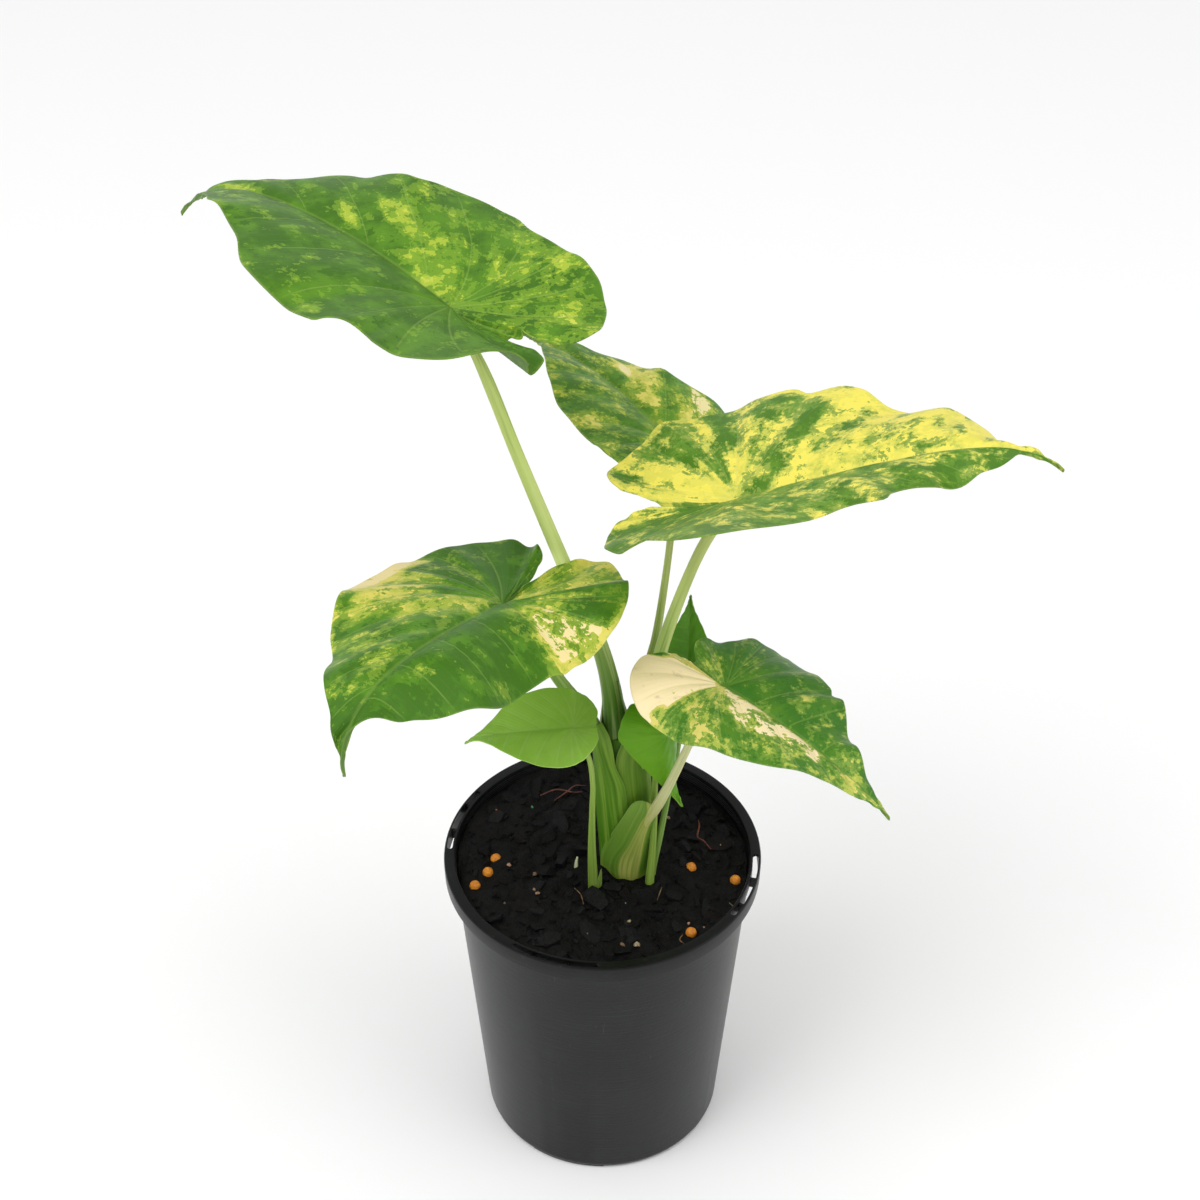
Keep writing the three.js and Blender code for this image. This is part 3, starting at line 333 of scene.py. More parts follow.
@dataclass(frozen=True)
class LeafSkin:
    """The upper or lower skin of a leaf: marbled tissue between pale veins.

    The mesh carries "flat" (millimetres along and across the blade and the share from midrib to
    margin), "vein" (a count of side veins, the width between two of them in millimetres and the
    fading of the veins) and "tint" (how pale the tissue is and how much of the pale is cream). Three
    noises make the edges of its patches ragged: islands, streaks along the veins and small flecks.
    """

    name: str
    palette: Palette
    underside: bool = False

    def mix(self) -> bpy.types.Material:
        """Builds the material."""
        recipe = Recipe(self.name + ("_under" if self.underside else "_skin"))
        palette = self.palette
        along, across, spread = recipe.attribute("flat")
        count, gap, fade = recipe.attribute("vein")
        level, creamy, _ = recipe.attribute("tint")
        side = across.step(-0.01, 0.01) * 40.0
        flat = recipe.vector(along, across, 0.0)
        islands = recipe.grain(flat, 0.085, 4, 0.66)
        streaks = recipe.grain(recipe.vector(count * 4.2 + side, spread * 4.2, side), 1.0, 3, 0.66, 7.0)
        flecks = recipe.grain(flat, 0.55, 2, 0.6, 11.0)
        ragged = ((islands - 0.5) * 1.3 + (streaks - 0.5) * spread.step(0.0, 0.45) * 0.75
                  + (flecks - 0.5) * 0.42)
        pale = level + ragged * palette.contrast
        milky = (creamy * 1.6 - 0.75 + ragged * 1.3).step(0.5, 0.52) * creamy.step(0.05, 0.12)
        colour = self._tones(recipe, pale, milky, flat)
        colour = self._veins(recipe, colour, pale, across, count, gap, fade)
        edge = spread.step(0.984, 1.0)
        colour = recipe.blend(edge * 0.18, colour, linear("a9bd62"))
        net = recipe.grain(flat, 0.9, 3, 0.6)
        nerves = ((count * 5.0).off_whole() * gap * 0.2).step(0.5, 0.05) * fade
        relief = recipe.bump(net * 0.6 + nerves * 0.4, 0.10)
        if self.underside:
            colour = recipe.blend(0.3, colour, linear("7f9a58"))
            return recipe.finish(base_color=colour, roughness=0.55 + 0.1 * net, normal=relief,
                                 specular_ior_level=0.12)
        return recipe.finish(base_color=colour, roughness=0.38 + 0.12 * net, normal=relief,
                             specular_ior_level=palette.sheen)

    def _tones(self, recipe: Recipe, pale: Wire, milky: Wire, flat: bpy.types.NodeSocket) -> object:
        """Lays the tones over one another, each with a crisp ragged edge."""
        palette = self.palette
        cloud = recipe.grain(flat, 0.06, 3, 0.6, 3.0)
        blotch = recipe.grain(flat, 0.16, 5, 0.65, 5.0)
        tissue = recipe.blend(cloud.step(0.36, 0.66), linear(palette.deep), linear(palette.green))
        tissue = recipe.blend(pale.step(0.26, 0.31), linear(palette.deep), tissue)
        tissue = recipe.blend(pale.step(0.44, 0.455) * 0.6, tissue, linear(palette.light))
        bright = recipe.blend(blotch.step(0.47, 0.5), linear(palette.light), linear(palette.lime))
        tissue = recipe.blend(pale.step(0.535, 0.545), tissue, bright)
        warm = recipe.blend(blotch.step(0.42, 0.6) * 0.6, linear(palette.yellow), linear(palette.lime))
        tissue = recipe.blend(pale.step(0.655, 0.665), tissue, warm)
        palest = recipe.blend(blotch.step(0.5, 0.53) * 0.3, linear(palette.yellow), linear(palette.lime))
        tissue = recipe.blend(pale.step(0.76, 0.775), tissue, palest)
        milk = recipe.blend(cloud.step(0.4, 0.7) * 0.12, linear(palette.cream), linear(palette.yellow))
        milk = recipe.blend(blotch.step(0.56, 0.72) * palette.bloom, milk, linear("c9a393"))
        return recipe.blend(pale.step(0.62, 0.635) * milky, tissue, milk)

    def _veins(self, recipe: Recipe, colour: object, pale: Wire, across: Wire, count: Wire, gap: Wire,
               fade: Wire) -> object:
        """Draws the midrib, the side veins and the fine nerves between them."""
        palette = self.palette
        thread = (count.off_whole() * gap).step(0.62, 0.12) * fade
        rib = (abs(across) - 0.3).step(0.95, 0.1)
        nerves = ((count * 5.0).off_whole() * gap * 0.2).step(0.35, 0.05) * fade
        line = (thread * 0.5).most(rib * 0.38).most(nerves * 0.06) * palette.veins * 1.6
        tone = recipe.blend(pale.step(0.5, 0.7), linear(palette.vein), linear("cfd07c"))
        return recipe.blend(line.least(0.75), colour, tone)


@dataclass(frozen=True)
class StalkSkin:
    """Smooth green stalk tissue with fine lengthwise lines, paler towards one end.

    The mesh carries "stalk": millimetres from the foot, share of the way up and share of a turn.
    rib holds the shares of the width between which a sheath is thickened and paler; past the rib the sheath
    gets painted shade.
    """

    name: str
    foot: str
    top: str
    streak: str
    contrast: float = 0.35
    rust: float = 0.0
    dark: str = "3f6b22"
    margin: float = 0.0
    turns_at: tuple[float, float] = (0.05, 0.95)
    rib: tuple[float, float] = (0.0, 0.0)

    def mix(self) -> bpy.types.Material:
        """Builds the material."""
        recipe = Recipe(self.name)
        run, share, turn = recipe.attribute("stalk")
        place = recipe.place()
        lines = recipe.grain(recipe.vector(run * 0.02, turn * 30.0, 0.0), 1.0, 3, 0.6)
        bands = recipe.grain(recipe.vector(run * 0.012, turn * 9.0, 3.0), 1.0, 3, 0.6)
        cloud = recipe.grain(place, 0.09, 3, 0.55)
        colour = recipe.blend(share.step(*self.turns_at), linear(self.foot), linear(self.top))
        colour = recipe.blend(bands.step(0.48, 0.62) * self.contrast, colour, linear(self.streak))
        colour = recipe.blend(bands.step(0.47, 0.36) * self.contrast, colour, linear(self.dark))
        colour = recipe.blend(lines.step(0.52, 0.72) * self.contrast * 0.5, colour, linear(self.streak))
        if self.rib[1]:
            colour = self._rib(recipe, colour, turn, share, lines)
        if self.rust:
            fleck = recipe.grain(recipe.vector(run * 0.35, turn * 30.0, 7.0), 1.0, 3, 0.7)
            colour = recipe.blend(fleck.step(0.6, 0.75) * self.rust, colour, linear("a8743a"))
        if self.margin:
            rim = (abs(turn - 0.5) * 2).step(0.955, 0.99)
            colour = recipe.blend(rim * self.margin, colour, linear("b9c777"))
        relief = recipe.bump(lines, 0.12, recipe.bump(recipe.grain(place, 1.6, 2, 0.5), 0.05))
        return recipe.finish(base_color=colour, roughness=0.4 + 0.12 * cloud, normal=relief,
                             specular_ior_level=0.16)

    def _rib(self, recipe: Recipe, colour: object, turn: Wire, share: Wire, lines: Wire) -> object:
        """Colours the rib yellow-green, with darker lines in it, and paints shade on the tissue beyond it.
        """
        low, high = self.rib
        edge = 0.02
        on_rib = turn.step(low - edge, low + edge) * turn.step(high + edge, high - edge)
        ochre = recipe.blend(lines.step(0.46, 0.6), linear("b6bb60"), linear("8f9f48"))
        colour = recipe.blend(on_rib * 0.85, colour, ochre)
        # Painted shade: the tissue beyond the rib is darkened with the dark tone, standing in for a shaded
        # band.
        colour = recipe.blend(turn.step(high, high + 0.05) * 0.6, colour, linear(self.dark))
        return recipe.blend(share.step(0.16, 0.02) * 0.6, colour, linear("9aa83f"))


@dataclass(frozen=True)
class GrainFinish:
    """A small dull thing on the mix: a prill's coat, a pale chip or a root."""

    name: str
    colour: str
    dark: str
    roughness: float = 0.6
    scale: float = 0.8

    def mix(self) -> bpy.types.Material:
        """Builds the material."""
        recipe = Recipe(self.name)
        place = recipe.place()
        patch = recipe.grain(place, self.scale, 4, 0.65)
        fine = recipe.grain(place, 4.0, 2, 0.6)
        colour = recipe.blend(patch.step(0.35, 0.7), linear(self.dark), linear(self.colour))
        relief = recipe.bump(fine * 0.5 + patch * 0.5, 0.18)
        return recipe.finish(base_color=colour, roughness=self.roughness + 0.15 * fine, normal=relief)


# Bench work


class Bench:
    """The steps that every piece is made with."""

    @staticmethod
    def clear() -> None:
        """Lets go of everything that is selected."""
        bpy.ops.object.select_all(action="DESELECT")

    @staticmethod
    def take(piece: bpy.types.Object) -> None:
        """Selects one piece and makes it the active one."""
        Bench.clear()
        piece.select_set(True)
        bpy.context.view_layer.objects.active = piece

    @staticmethod
    def points(piece: bpy.types.Object) -> np.ndarray:
        """The places of a piece's vertices in millimetres."""
        places = np.empty(len(piece.data.vertices) * 3)
        piece.data.vertices.foreach_get("co", places)
        return places.reshape(-1, 3) / MM

    @staticmethod
    def move(piece: bpy.types.Object, places: np.ndarray) -> None:
        """Puts a piece's vertices at new places in millimetres."""
        piece.data.vertices.foreach_set("co", (np.asarray(places) * MM).ravel())
        piece.data.update()

    @staticmethod
    def formed(name: str, columns: int, rows: int,
               form: Callable[[np.ndarray, np.ndarray], np.ndarray],
               marks: Callable[[np.ndarray, np.ndarray], dict] | None = None) -> bpy.types.Object:
        """Lays a grid and carries each of its points to its place by a formula.

        Args:
            name: The piece's name.
            columns: Steps along the first direction.
            rows: Steps along the second direction.
            form: Gives places in millimetres for shares 0 to 1 in both directions.
            marks: Gives named values at each point for the finish to read.

        Returns:
            The formed sheet.
        """
        Bench.clear()
        bpy.ops.mesh.primitive_grid_add(x_subdivisions=columns, y_subdivisions=rows, size=1)
        sheet = bpy.context.object
        sheet.name = name
        sheet.data.name = name
        shares = np.clip(Bench.points(sheet)[:, :2] * MM + 0.5, 0, 1)
        first, second = shares[:, 0], shares[:, 1]
        if marks is not None:
            corners = np.empty(len(sheet.data.loops), dtype=np.int32)
            sheet.data.loops.foreach_get("vertex_index", corners)
            for key, values in marks(first, second).items():
                store = sheet.data.attributes.new(key, "FLOAT_VECTOR", "CORNER")
                store.data.foreach_set("vector", np.column_stack(values)[corners].ravel())
        Bench.move(sheet, form(first, second))
        return sheet

    @staticmethod
    def weld(piece: bpy.types.Object, gap: float = 0.01, outward: bool = False) -> None:
        """Merges doubled vertices, and turns the faces outward on a closed piece."""
        Bench.take(piece)
        bpy.ops.object.mode_set(mode="EDIT")
        bpy.ops.mesh.select_all(action="SELECT")
        bpy.ops.mesh.remove_doubles(threshold=gap * MM)
        bpy.ops.mesh.dissolve_degenerate(threshold=gap * MM)
        if outward:
            bpy.ops.mesh.normals_make_consistent(inside=False)
        bpy.ops.object.mode_set(mode="OBJECT")

    @staticmethod
    def join(name: str, pieces: Sequence[bpy.types.Object]) -> bpy.types.Object:
        """Makes several pieces one mesh."""
        Bench.clear()
        for piece in pieces:
            piece.select_set(True)
        bpy.context.view_layer.objects.active = pieces[0]
        if len(pieces) > 1:
            bpy.ops.object.join()
        whole = bpy.context.view_layer.objects.active
        whole.name = name
        whole.data.name = name
        return whole

    @staticmethod
    def modify(piece: bpy.types.Object, kind: str, **settings: object) -> None:
        """Adds a modifier and applies it."""
        Bench.take(piece)
        modifier = piece.modifiers.new(kind.lower(), kind)
        for key, value in settings.items():
            setattr(modifier, key, value)
        bpy.ops.object.modifier_apply(modifier=modifier.name)

    @staticmethod
    def smooth(piece: bpy.types.Object, degrees: float = 50.0) -> None:
        """Shades a piece smooth except over its sharp edges."""
        Bench.take(piece)
        bpy.ops.object.shade_smooth_by_angle(angle=math.radians(degrees))

    @staticmethod
    def dress(piece: bpy.types.Object, *finishes: bpy.types.Material) -> None:
        """Gives a piece its finishes, the first of them all over."""
        piece.data.materials.clear()
        for finish in finishes:
            piece.data.materials.append(finish)

    @staticmethod
    def settle(piece: bpy.types.Object, slot: str, *nodes: str) -> bpy.types.Object:
        """Fixes a finished piece to the plant and hides the solids that it replaces.

        Args:
            piece: The finished piece.
            slot: Not used.
            nodes: The solids that it replaces, if any.

        Returns:
            The piece.
        """
        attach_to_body(piece, BODY)
        if nodes:
            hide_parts(*nodes)
        log.info("%s: %d faces", piece.name, len(piece.data.polygons))
        return piece


# Curves


def smooth(values: Sequence[float], share: np.ndarray) -> np.ndarray:
    """Reads evenly spaced values along a smooth curve through them, for shares 0 to 1."""
    known = np.asarray(values, float)
    place = np.asarray(share, float) * (len(known) - 1)
    first = np.minimum(place.astype(int), len(known) - 2)
    t = place - first
    padded = np.concatenate([[2 * known[0] - known[1]], known, [2 * known[-1] - known[-2]]])
    before, start, end, after = (padded[first + i] for i in range(4))
    return between(before, start, end, after, t)


def between(before: np.ndarray, start: np.ndarray, end: np.ndarray, after: np.ndarray,
            t: np.ndarray) -> np.ndarray:
    """Values at shares t from start to end on a smooth curve that also passes its two neighbours."""
    return 0.5 * (2 * start + (end - before) * t + (2 * before - 5 * start + 4 * end - after) * t ** 2
                  + (3 * start - before - 3 * end + after) * t ** 3)


class Spine:
    """A smooth curve through points, read by the share of its length."""

    SAMPLES = 40

    def __init__(self, points: Sequence[Triple]) -> None:
        """Threads the curve through the points and measures it."""
        knots = np.asarray(points, float)
        padded = np.vstack([2 * knots[0] - knots[1], knots, 2 * knots[-1] - knots[-2]])
        steps = np.sqrt(np.linalg.norm(np.diff(padded, axis=0), axis=1))[:, None]
        pieces = []
        t = np.linspace(0, 1, self.SAMPLES, endpoint=False)[:, None]
        for i in range(len(knots) - 1):
            a, b, c, d = padded[i:i + 4]
            before, here, after = steps[i:i + 3]
            leave = ((b - a) / before - (c - a) / (before + here) + (c - b) / here) * here
            arrive = ((c - b) / here - (d - b) / (here + after) + (d - c) / after) * here
            pieces.append(b + leave * t + (3 * (c - b) - 2 * leave - arrive) * t ** 2
                          + (2 * (b - c) + leave + arrive) * t ** 3)
        self.path = np.vstack(pieces + [knots[-1]])
        self.run = np.concatenate([[0], np.cumsum(np.linalg.norm(np.diff(self.path, axis=0), axis=1))])
        self.length = float(self.run[-1])

    def at(self, share: np.ndarray) -> np.ndarray:
        """Points at shares of the length."""
        run = np.asarray(share) * self.length
        return np.column_stack([np.interp(run, self.run, self.path[:, axis]) for axis in range(3)])

    def heading(self, share: np.ndarray) -> np.ndarray:
        """Unit directions at shares of the length."""
        ahead = self.at(np.clip(share + 0.01, 0, 1)) - self.at(np.clip(share - 0.01, 0, 1))
        return ahead / np.linalg.norm(ahead, axis=1)[:, None]


@dataclass
class Stalk:
    """A round or oval stalk that follows a curve, closed at both ends.

    wide is what its width is multiplied by, groove how deep the channel at groove_side is along it,
    and cap the share of its rings that closes each end.
    """

    points: Sequence[Triple]
    radii: Sequence[float]
    wide: Sequence[float] = (1.0, 1.0)
    sides: int = 24
    rings: int = 70
    groove_side: float = 0.5
    groove: Sequence[float] = (0.0, 0.0)
    groove_width: float = 0.09
    cap: float = 0.01

    def place(self, share: np.ndarray, turn: np.ndarray, profile: np.ndarray | float = 1.0) -> np.ndarray:
        """Points on the skin.

        Args:
            share: Shares of the stalk's length.
            turn: Shares of a turn round it, from its right side by the back.
            profile: What the radius is multiplied by.

        Returns:
            The points in millimetres.
        """
        spine = Spine(self.points)
        centre = spine.at(share)
        along = spine.heading(share)
        side = np.array([1.0, 0.0, 0.0]) - along * along[:, :1]
        side /= np.linalg.norm(side, axis=1)[:, None]
        depth = np.cross(along, side)
        radius = np.maximum(smooth(self.radii, share), 0.05) * profile
        angle = 2 * np.pi * turn
        outward = side * (np.cos(angle) * smooth(self.wide, share))[:, None]
        outward += depth * np.sin(angle)[:, None]
        return centre + outward * radius[:, None]

    def make(self, name: str, relief: Callable[[np.ndarray, np.ndarray], np.ndarray] | None = None
             ) -> bpy.types.Object:
        """Builds the stalk, with relief as a formula for swellings of its radius."""
        length = Spine(self.points).length

        def form(turn: np.ndarray, reach: np.ndarray) -> np.ndarray:
            """Points on the skin, drawn together at both ends."""
            share = np.clip((reach - self.cap) / (1 - 2 * self.cap), 0, 1)
            closing = np.where((reach < 0.002) | (reach > 0.998), 0.001, 1.0)
            away = np.abs((turn - self.groove_side + 0.5) % 1 - 0.5)
            channel = 1 - smooth(self.groove, share) * np.exp(-(away / self.groove_width) ** 2)
            swell = relief(turn, share) if relief is not None else 1.0
            return self.place(share, turn, closing * channel * swell)

        def marks(turn: np.ndarray, reach: np.ndarray) -> dict:
            """What the stalk's finish reads."""
            return {"stalk": (reach * length, reach, turn)}

        tube = Bench.formed(name, self.sides, self.rings, form, marks)
        Bench.weld(tube, 0.02, outward=True)
        Bench.smooth(tube, 60)
        return tube


# Leaves

HALF_OUTLINE = (
    (1, 0), (0.93, 0.035), (0.86, 0.1), (0.75, 0.27), (0.6, 0.5), (0.42, 0.72), (0.22, 0.9), (0, 1),
    (-0.28, 0.99), (-0.58, 0.87), (-0.84, 0.65), (-1, 0.4), (-0.95, 0.17),
)
SIDE_VEINS = (0.0, 0.08, 0.14, 0.2, 0.26, 0.315, 0.365, 0.43, 0.5, 0.58, 0.66, 0.76, 0.86, 1.0)
VEIN_ANGLE = 50.0
EVEN = (1,) * 9
LEVEL = (0,) * 9
LEFT, RIGHT = 0, 1


@dataclass(frozen=True)
class Patch:
    """A patch of one tone on a half of a leaf, between two side veins and two spreads.

    A side vein is named by the place round the margin where it ends.
    """

    tone: Tone
    around: tuple[float, float]
    spread: tuple[float, float]
    strength: float = 1.0
    soft: float = 0.014

    def cover(self, vein: np.ndarray, spread: np.ndarray) -> np.ndarray:
        """How much of the patch lies at each place, with soft edges."""
        def window(value: np.ndarray, low: float, high: float, edge: float) -> np.ndarray:
            """1 between low and high, fading to 0 over both edges."""
            rise = np.clip((value - low) / edge * 0.5 + 0.5, 0, 1)
            fall = np.clip((high - value) / edge * 0.5 + 0.5, 0, 1)
            return rise ** 2 * (3 - 2 * rise) * fall ** 2 * (3 - 2 * fall)

        return self.strength * window(vein, *self.around, self.soft) * window(spread, *self.spread, 0.07)


@dataclass(frozen=True)
class Ruffle:
    """A small wave of the margin: its place and width round it, and its reach and lift."""

    at: float
    width: float
    out: float
    up: float


@dataclass
class Leaf:
    """One leaf: an arrow-shaped blade on a long stalk.

    attach is where the stalk meets the blade, and turn holds the yaw, pitch and roll of the midrib.
    What comes in pairs is for the left and the right half. The midrib arches by bend along its length
    and by tip_bend close to the drip tip. fold is the angle at which the halves rise from the midrib,
    and cup what is added to it towards the margin. lift is how far the margin waves out of the blade,
    and reach how far it swells or draws in, at even steps from the tip round to the notch. sweep is
    how far round the margin the side veins run, and base how pale the blade is beyond its patches.
    """

    name: str
    slot: str
    attach: Triple
    turn: Triple
    length: float
    lobes: tuple[float, float]
    widths: tuple[float, float]
    notch: float
    bend: float
    tip_bend: float
    fold: float
    cup: float
    lobe_droop: float
    rib: float
    stalk: Stalk
    palette: Palette
    stalk_skin: StalkSkin
    lift: tuple[Sequence[float], Sequence[float]] = (LEVEL, LEVEL)
    reach: tuple[Sequence[float], Sequence[float]] = (EVEN, EVEN)
    sweep: tuple[float, float] = (-0.035, 0.05)
    ruffles: tuple[Sequence[Ruffle], Sequence[Ruffle]] = ((), ())
    patches: tuple[Sequence[Patch], Sequence[Patch]] = ((), ())
    base: float = 0.38
    stations: int = 150
    rows: int = 40
    puff: float = 0.9
    thickness: float = 0.55
    vein_depth: float = 0.4
    vein_width: float = 1.1
    midrib_depth: float = 0.9
    midrib_width: float = 1.8
    ripple_share: float = 0.0025
    ripple_rate: float = 95.0
    rib_reach: float = 0.93
    puffed_gap: float = 14.0
    stalk_gap: float = 1.2

    def outline(self, fraction: np.ndarray) -> tuple[np.ndarray, np.ndarray]:
        """The flat margin as shares of the length and of the half width."""
        control = np.array(HALF_OUTLINE + (
            (-(0.3 * self.notch + 0.665), 0.07), (-(0.75 * self.notch + 0.2375), 0.02), (-self.notch, 0)))
        return smooth(control[:, 0], fraction), smooth(control[:, 1], fraction)

    def waves(self, half: int, fraction: np.ndarray) -> tuple[np.ndarray, np.ndarray]:
        """What the small waves of the margin add to its reach and to its lift."""
        out, up = np.zeros(len(fraction)), np.zeros(len(fraction))
        for ruffle in self.ruffles[half]:
            swell = np.exp(-((fraction - ruffle.at) / ruffle.width) ** 2)
            out += ruffle.out * swell
            up += ruffle.up * swell
        return out, up

    def flat(self, half: int, fraction: np.ndarray, spread: np.ndarray) -> tuple[np.ndarray, np.ndarray]:
        """Millimetres along the midrib and away from it."""
        length_share, width_share = self.outline(fraction)
        blend = np.clip((fraction - 0.86) / 0.14, 0, 1)
        blend = blend ** 2 * (3 - 2 * blend)
        lobe = self.lobes[half] + (sum(self.lobes) / 2 - self.lobes[half]) * blend
        margin = np.where(length_share > 0, length_share * self.length, length_share * lobe)
        run = 0.9 * width_share * sum(self.widths) / 2 / math.tan(math.radians(VEIN_ANGLE))
        root = np.maximum(length_share * self.length - run, 0)
        reach = spread * (smooth((1, *self.reach[half], 1), fraction) + self.waves(half, fraction)[0])
        return root + (margin - root) * reach, width_share * self.widths[half] * reach

    def in_space(self, side: int, along: np.ndarray, across: np.ndarray, lift: np.ndarray) -> np.ndarray:
        """Carries flat points to space: the midrib arches, the halves fold up, the margin waves."""
        forward = np.clip(along, 0, self.length)
        steps = 40
        x, z = np.zeros_like(forward), np.zeros_like(forward)
        for i in range(steps):
            share = (i + 0.5) / steps * forward / self.length
            angle = -np.radians(self.bend * share + self.tip_bend * share ** 6)
            x += np.cos(angle) * forward / steps
            z += np.sin(angle) * forward / steps
        share = forward / self.length
        angle = -np.radians(self.bend * share + self.tip_bend * share ** 6)
        past = np.maximum(along - self.length, 0)
        behind = np.maximum(-along, 0)
        droop = math.radians(self.lobe_droop) * behind / self.lobes[0]
        x += past * np.cos(angle) - behind * np.cos(droop / 2)
        z += past * np.sin(angle) - behind * np.sin(droop / 2)
        rise = np.radians(self.fold + self.cup * across / self.widths[0])
        upward = across * np.sin(rise) + lift
        local = np.column_stack([
            x - np.sin(angle) * upward, side * across * np.cos(rise), z + np.cos(angle) * upward])
        yaw, pitch, roll = (math.radians(value) for value in self.turn)
        level_part = math.cos(pitch)
        ahead = np.array([math.cos(yaw) * level_part, math.sin(yaw) * level_part, math.sin(pitch)])
        level = np.array([-math.sin(yaw), math.cos(yaw), 0.0])
        raised = np.cross(ahead, level)
        left = level * math.cos(roll) + raised * math.sin(roll)
        up = raised * math.cos(roll) - level * math.sin(roll)
        return local @ np.array([ahead, left, up]) + np.array(self.attach)

    def vein_end(self, half: int, fraction: np.ndarray, spread: np.ndarray) -> np.ndarray:
        """Where round the margin a side vein through each place ends."""
        return fraction - self.sweep[half] * (1 - spread)

    def vein_count(self, half: int, fraction: np.ndarray, spread: np.ndarray) -> np.ndarray:
        """Counts side veins round the blade: a whole number on each of them."""
        return np.interp(self.vein_end(half, fraction, spread), SIDE_VEINS, np.arange(len(SIDE_VEINS)))

    def vein_gap(self, half: int, fraction: np.ndarray, spread: np.ndarray) -> np.ndarray:
        """Millimetres between two side veins at each place."""
        step = 0.004
        here, there = np.clip(fraction - step, 0, 1), np.clip(fraction + step, 0, 1)
        a, b = self.flat(half, here, spread), self.flat(half, there, spread)
        moved = np.hypot(b[0] - a[0], b[1] - a[1])
        counted = self.vein_count(half, there, spread) - self.vein_count(half, here, spread)
        return moved / np.maximum(counted, 1e-3)

    def tints(self, half: int, fraction: np.ndarray, spread: np.ndarray) -> np.ndarray:
        """How pale the tissue is at each place and how creamy; a later patch lies over an earlier one."""
        level = np.full(len(fraction), self.base)
        creamy = np.zeros(len(fraction))
        vein = self.vein_end(half, fraction, spread)
        for patch in self.patches[half]:
            cover = patch.cover(vein, spread)
            level += (patch.tone.value - level) * cover
            creamy += ((patch.tone in (Tone.CREAM, Tone.FLECKED)) - creamy) * cover
        return np.column_stack([level, creamy, np.zeros(len(fraction))])

    def half_blade(self, half: int) -> bpy.types.Object:
        """One half of the blade as a fine sheet with its veins sunk in."""
        side = 1 if half == LEFT else -1

        def fraction_of(first: np.ndarray) -> np.ndarray:
            """Shares round the margin, turned so that both halves face the same way."""
            return 1 - first if half == LEFT else first

        def form(first: np.ndarray, spread: np.ndarray) -> np.ndarray:
            """Places on the half: puffed between sunk veins, waved towards the margin."""
            fraction = fraction_of(first)
            along, across = self.flat(half, fraction, spread)
            count = self.vein_count(half, fraction, spread)
            gap = self.vein_gap(half, fraction, spread)
            off = np.abs(count - np.round(count))
            inner = np.clip(1 - spread, 0, 1)
            puff = self.puff * np.sin(np.pi * off) ** 2 * np.clip(4 * spread * inner, 0, 1)
            puff *= np.clip(gap / self.puffed_gap, 0.15, 1)
            groove = self.vein_depth * np.exp(-(off * gap / self.vein_width) ** 2)
            groove *= inner ** 0.5 * np.clip(spread * 8, 0, 1)
            midrib = self.midrib_depth * np.exp(-(across / self.midrib_width) ** 2)
            midrib *= np.clip(1 - along / self.length, 0, 1)
            ripple = self.ripple_share * self.length * spread ** 6 * np.sin(
                fraction * self.ripple_rate + half * 2)
            ripple *= np.clip(fraction * 8, 0, 1)
            lift = smooth((0, *self.lift[half], 0), fraction) + self.waves(half, fraction)[1]
            return self.in_space(
                side, along, across, spread ** 2 * lift + puff - groove - midrib + ripple)

        def marks(first: np.ndarray, spread: np.ndarray) -> dict:
            """What the leaf's finish reads."""
            fraction = fraction_of(first)
            along, across = self.flat(half, fraction, spread)
            fade = np.clip((1 - spread) * 6, 0, 1) * np.clip(spread * 14, 0, 1)
            return {
                "flat": (along, side * across, spread),
                "vein": (
                    self.vein_count(half, fraction, spread), self.vein_gap(half, fraction, spread), fade),
                "tint": tuple(self.tints(half, fraction, spread).T),
            }

        return Bench.formed(self.name + "_half", self.stations, self.rows, form, marks)

    def make_blade(self) -> bpy.types.Object:
        """Builds the blade: two halves grown together, with a thin body and two skins."""
        blade = Bench.join(self.name + "_blade", [self.half_blade(LEFT), self.half_blade(RIGHT)])
        Bench.weld(blade, 0.02)
        skin = LeafSkin(self.name, self.palette).mix()
        under = LeafSkin(self.name, self.palette, underside=True).mix()
        Bench.dress(blade, skin, under)
        Bench.modify(blade, "SOLIDIFY", thickness=self.thickness * MM, offset=-1.0, use_even_offset=False,
                     material_offset=1, material_offset_rim=0)
        Bench.smooth(blade, 70)
        return Bench.settle(blade, self.slot, self.name)

    def make_rib(self) -> bpy.types.Object:
        """Builds the midrib that stands out below the blade."""
        radii = (self.rib, self.rib * 0.7, 0.35)
        shares = np.linspace(0, self.rib_reach, 9)
        sunk = (smooth(radii, shares / self.rib_reach) + self.thickness / 2
                + self.midrib_depth * (1 - shares))
        points = self.in_space(1, shares * self.length, np.zeros(9), -sunk)
        rib = Stalk([tuple(p) for p in points], radii, sides=14, rings=60)
        ridge = rib.make(self.name + "_rib")
        Bench.dress(ridge, self.stalk_skin.mix())
        return Bench.settle(ridge, self.slot, self.name)

    def make_stalk(self) -> bpy.types.Object:
        """Builds the petiole up to the blade."""
        depth = np.full(1, -self.rib - self.stalk_gap)
        under_blade = self.in_space(1, np.zeros(1), np.zeros(1), depth)[0]
        self.stalk.points = [*self.stalk.points, tuple(under_blade)]
        tube = self.stalk.make(self.name + "_stalk")
        Bench.dress(tube, self.stalk_skin.mix())
        return Bench.settle(tube, self.slot, self.name)

    def make(self) -> None:
        """Builds the whole leaf."""
        self.make_blade()
        self.make_rib()
        self.make_stalk()


# The pot


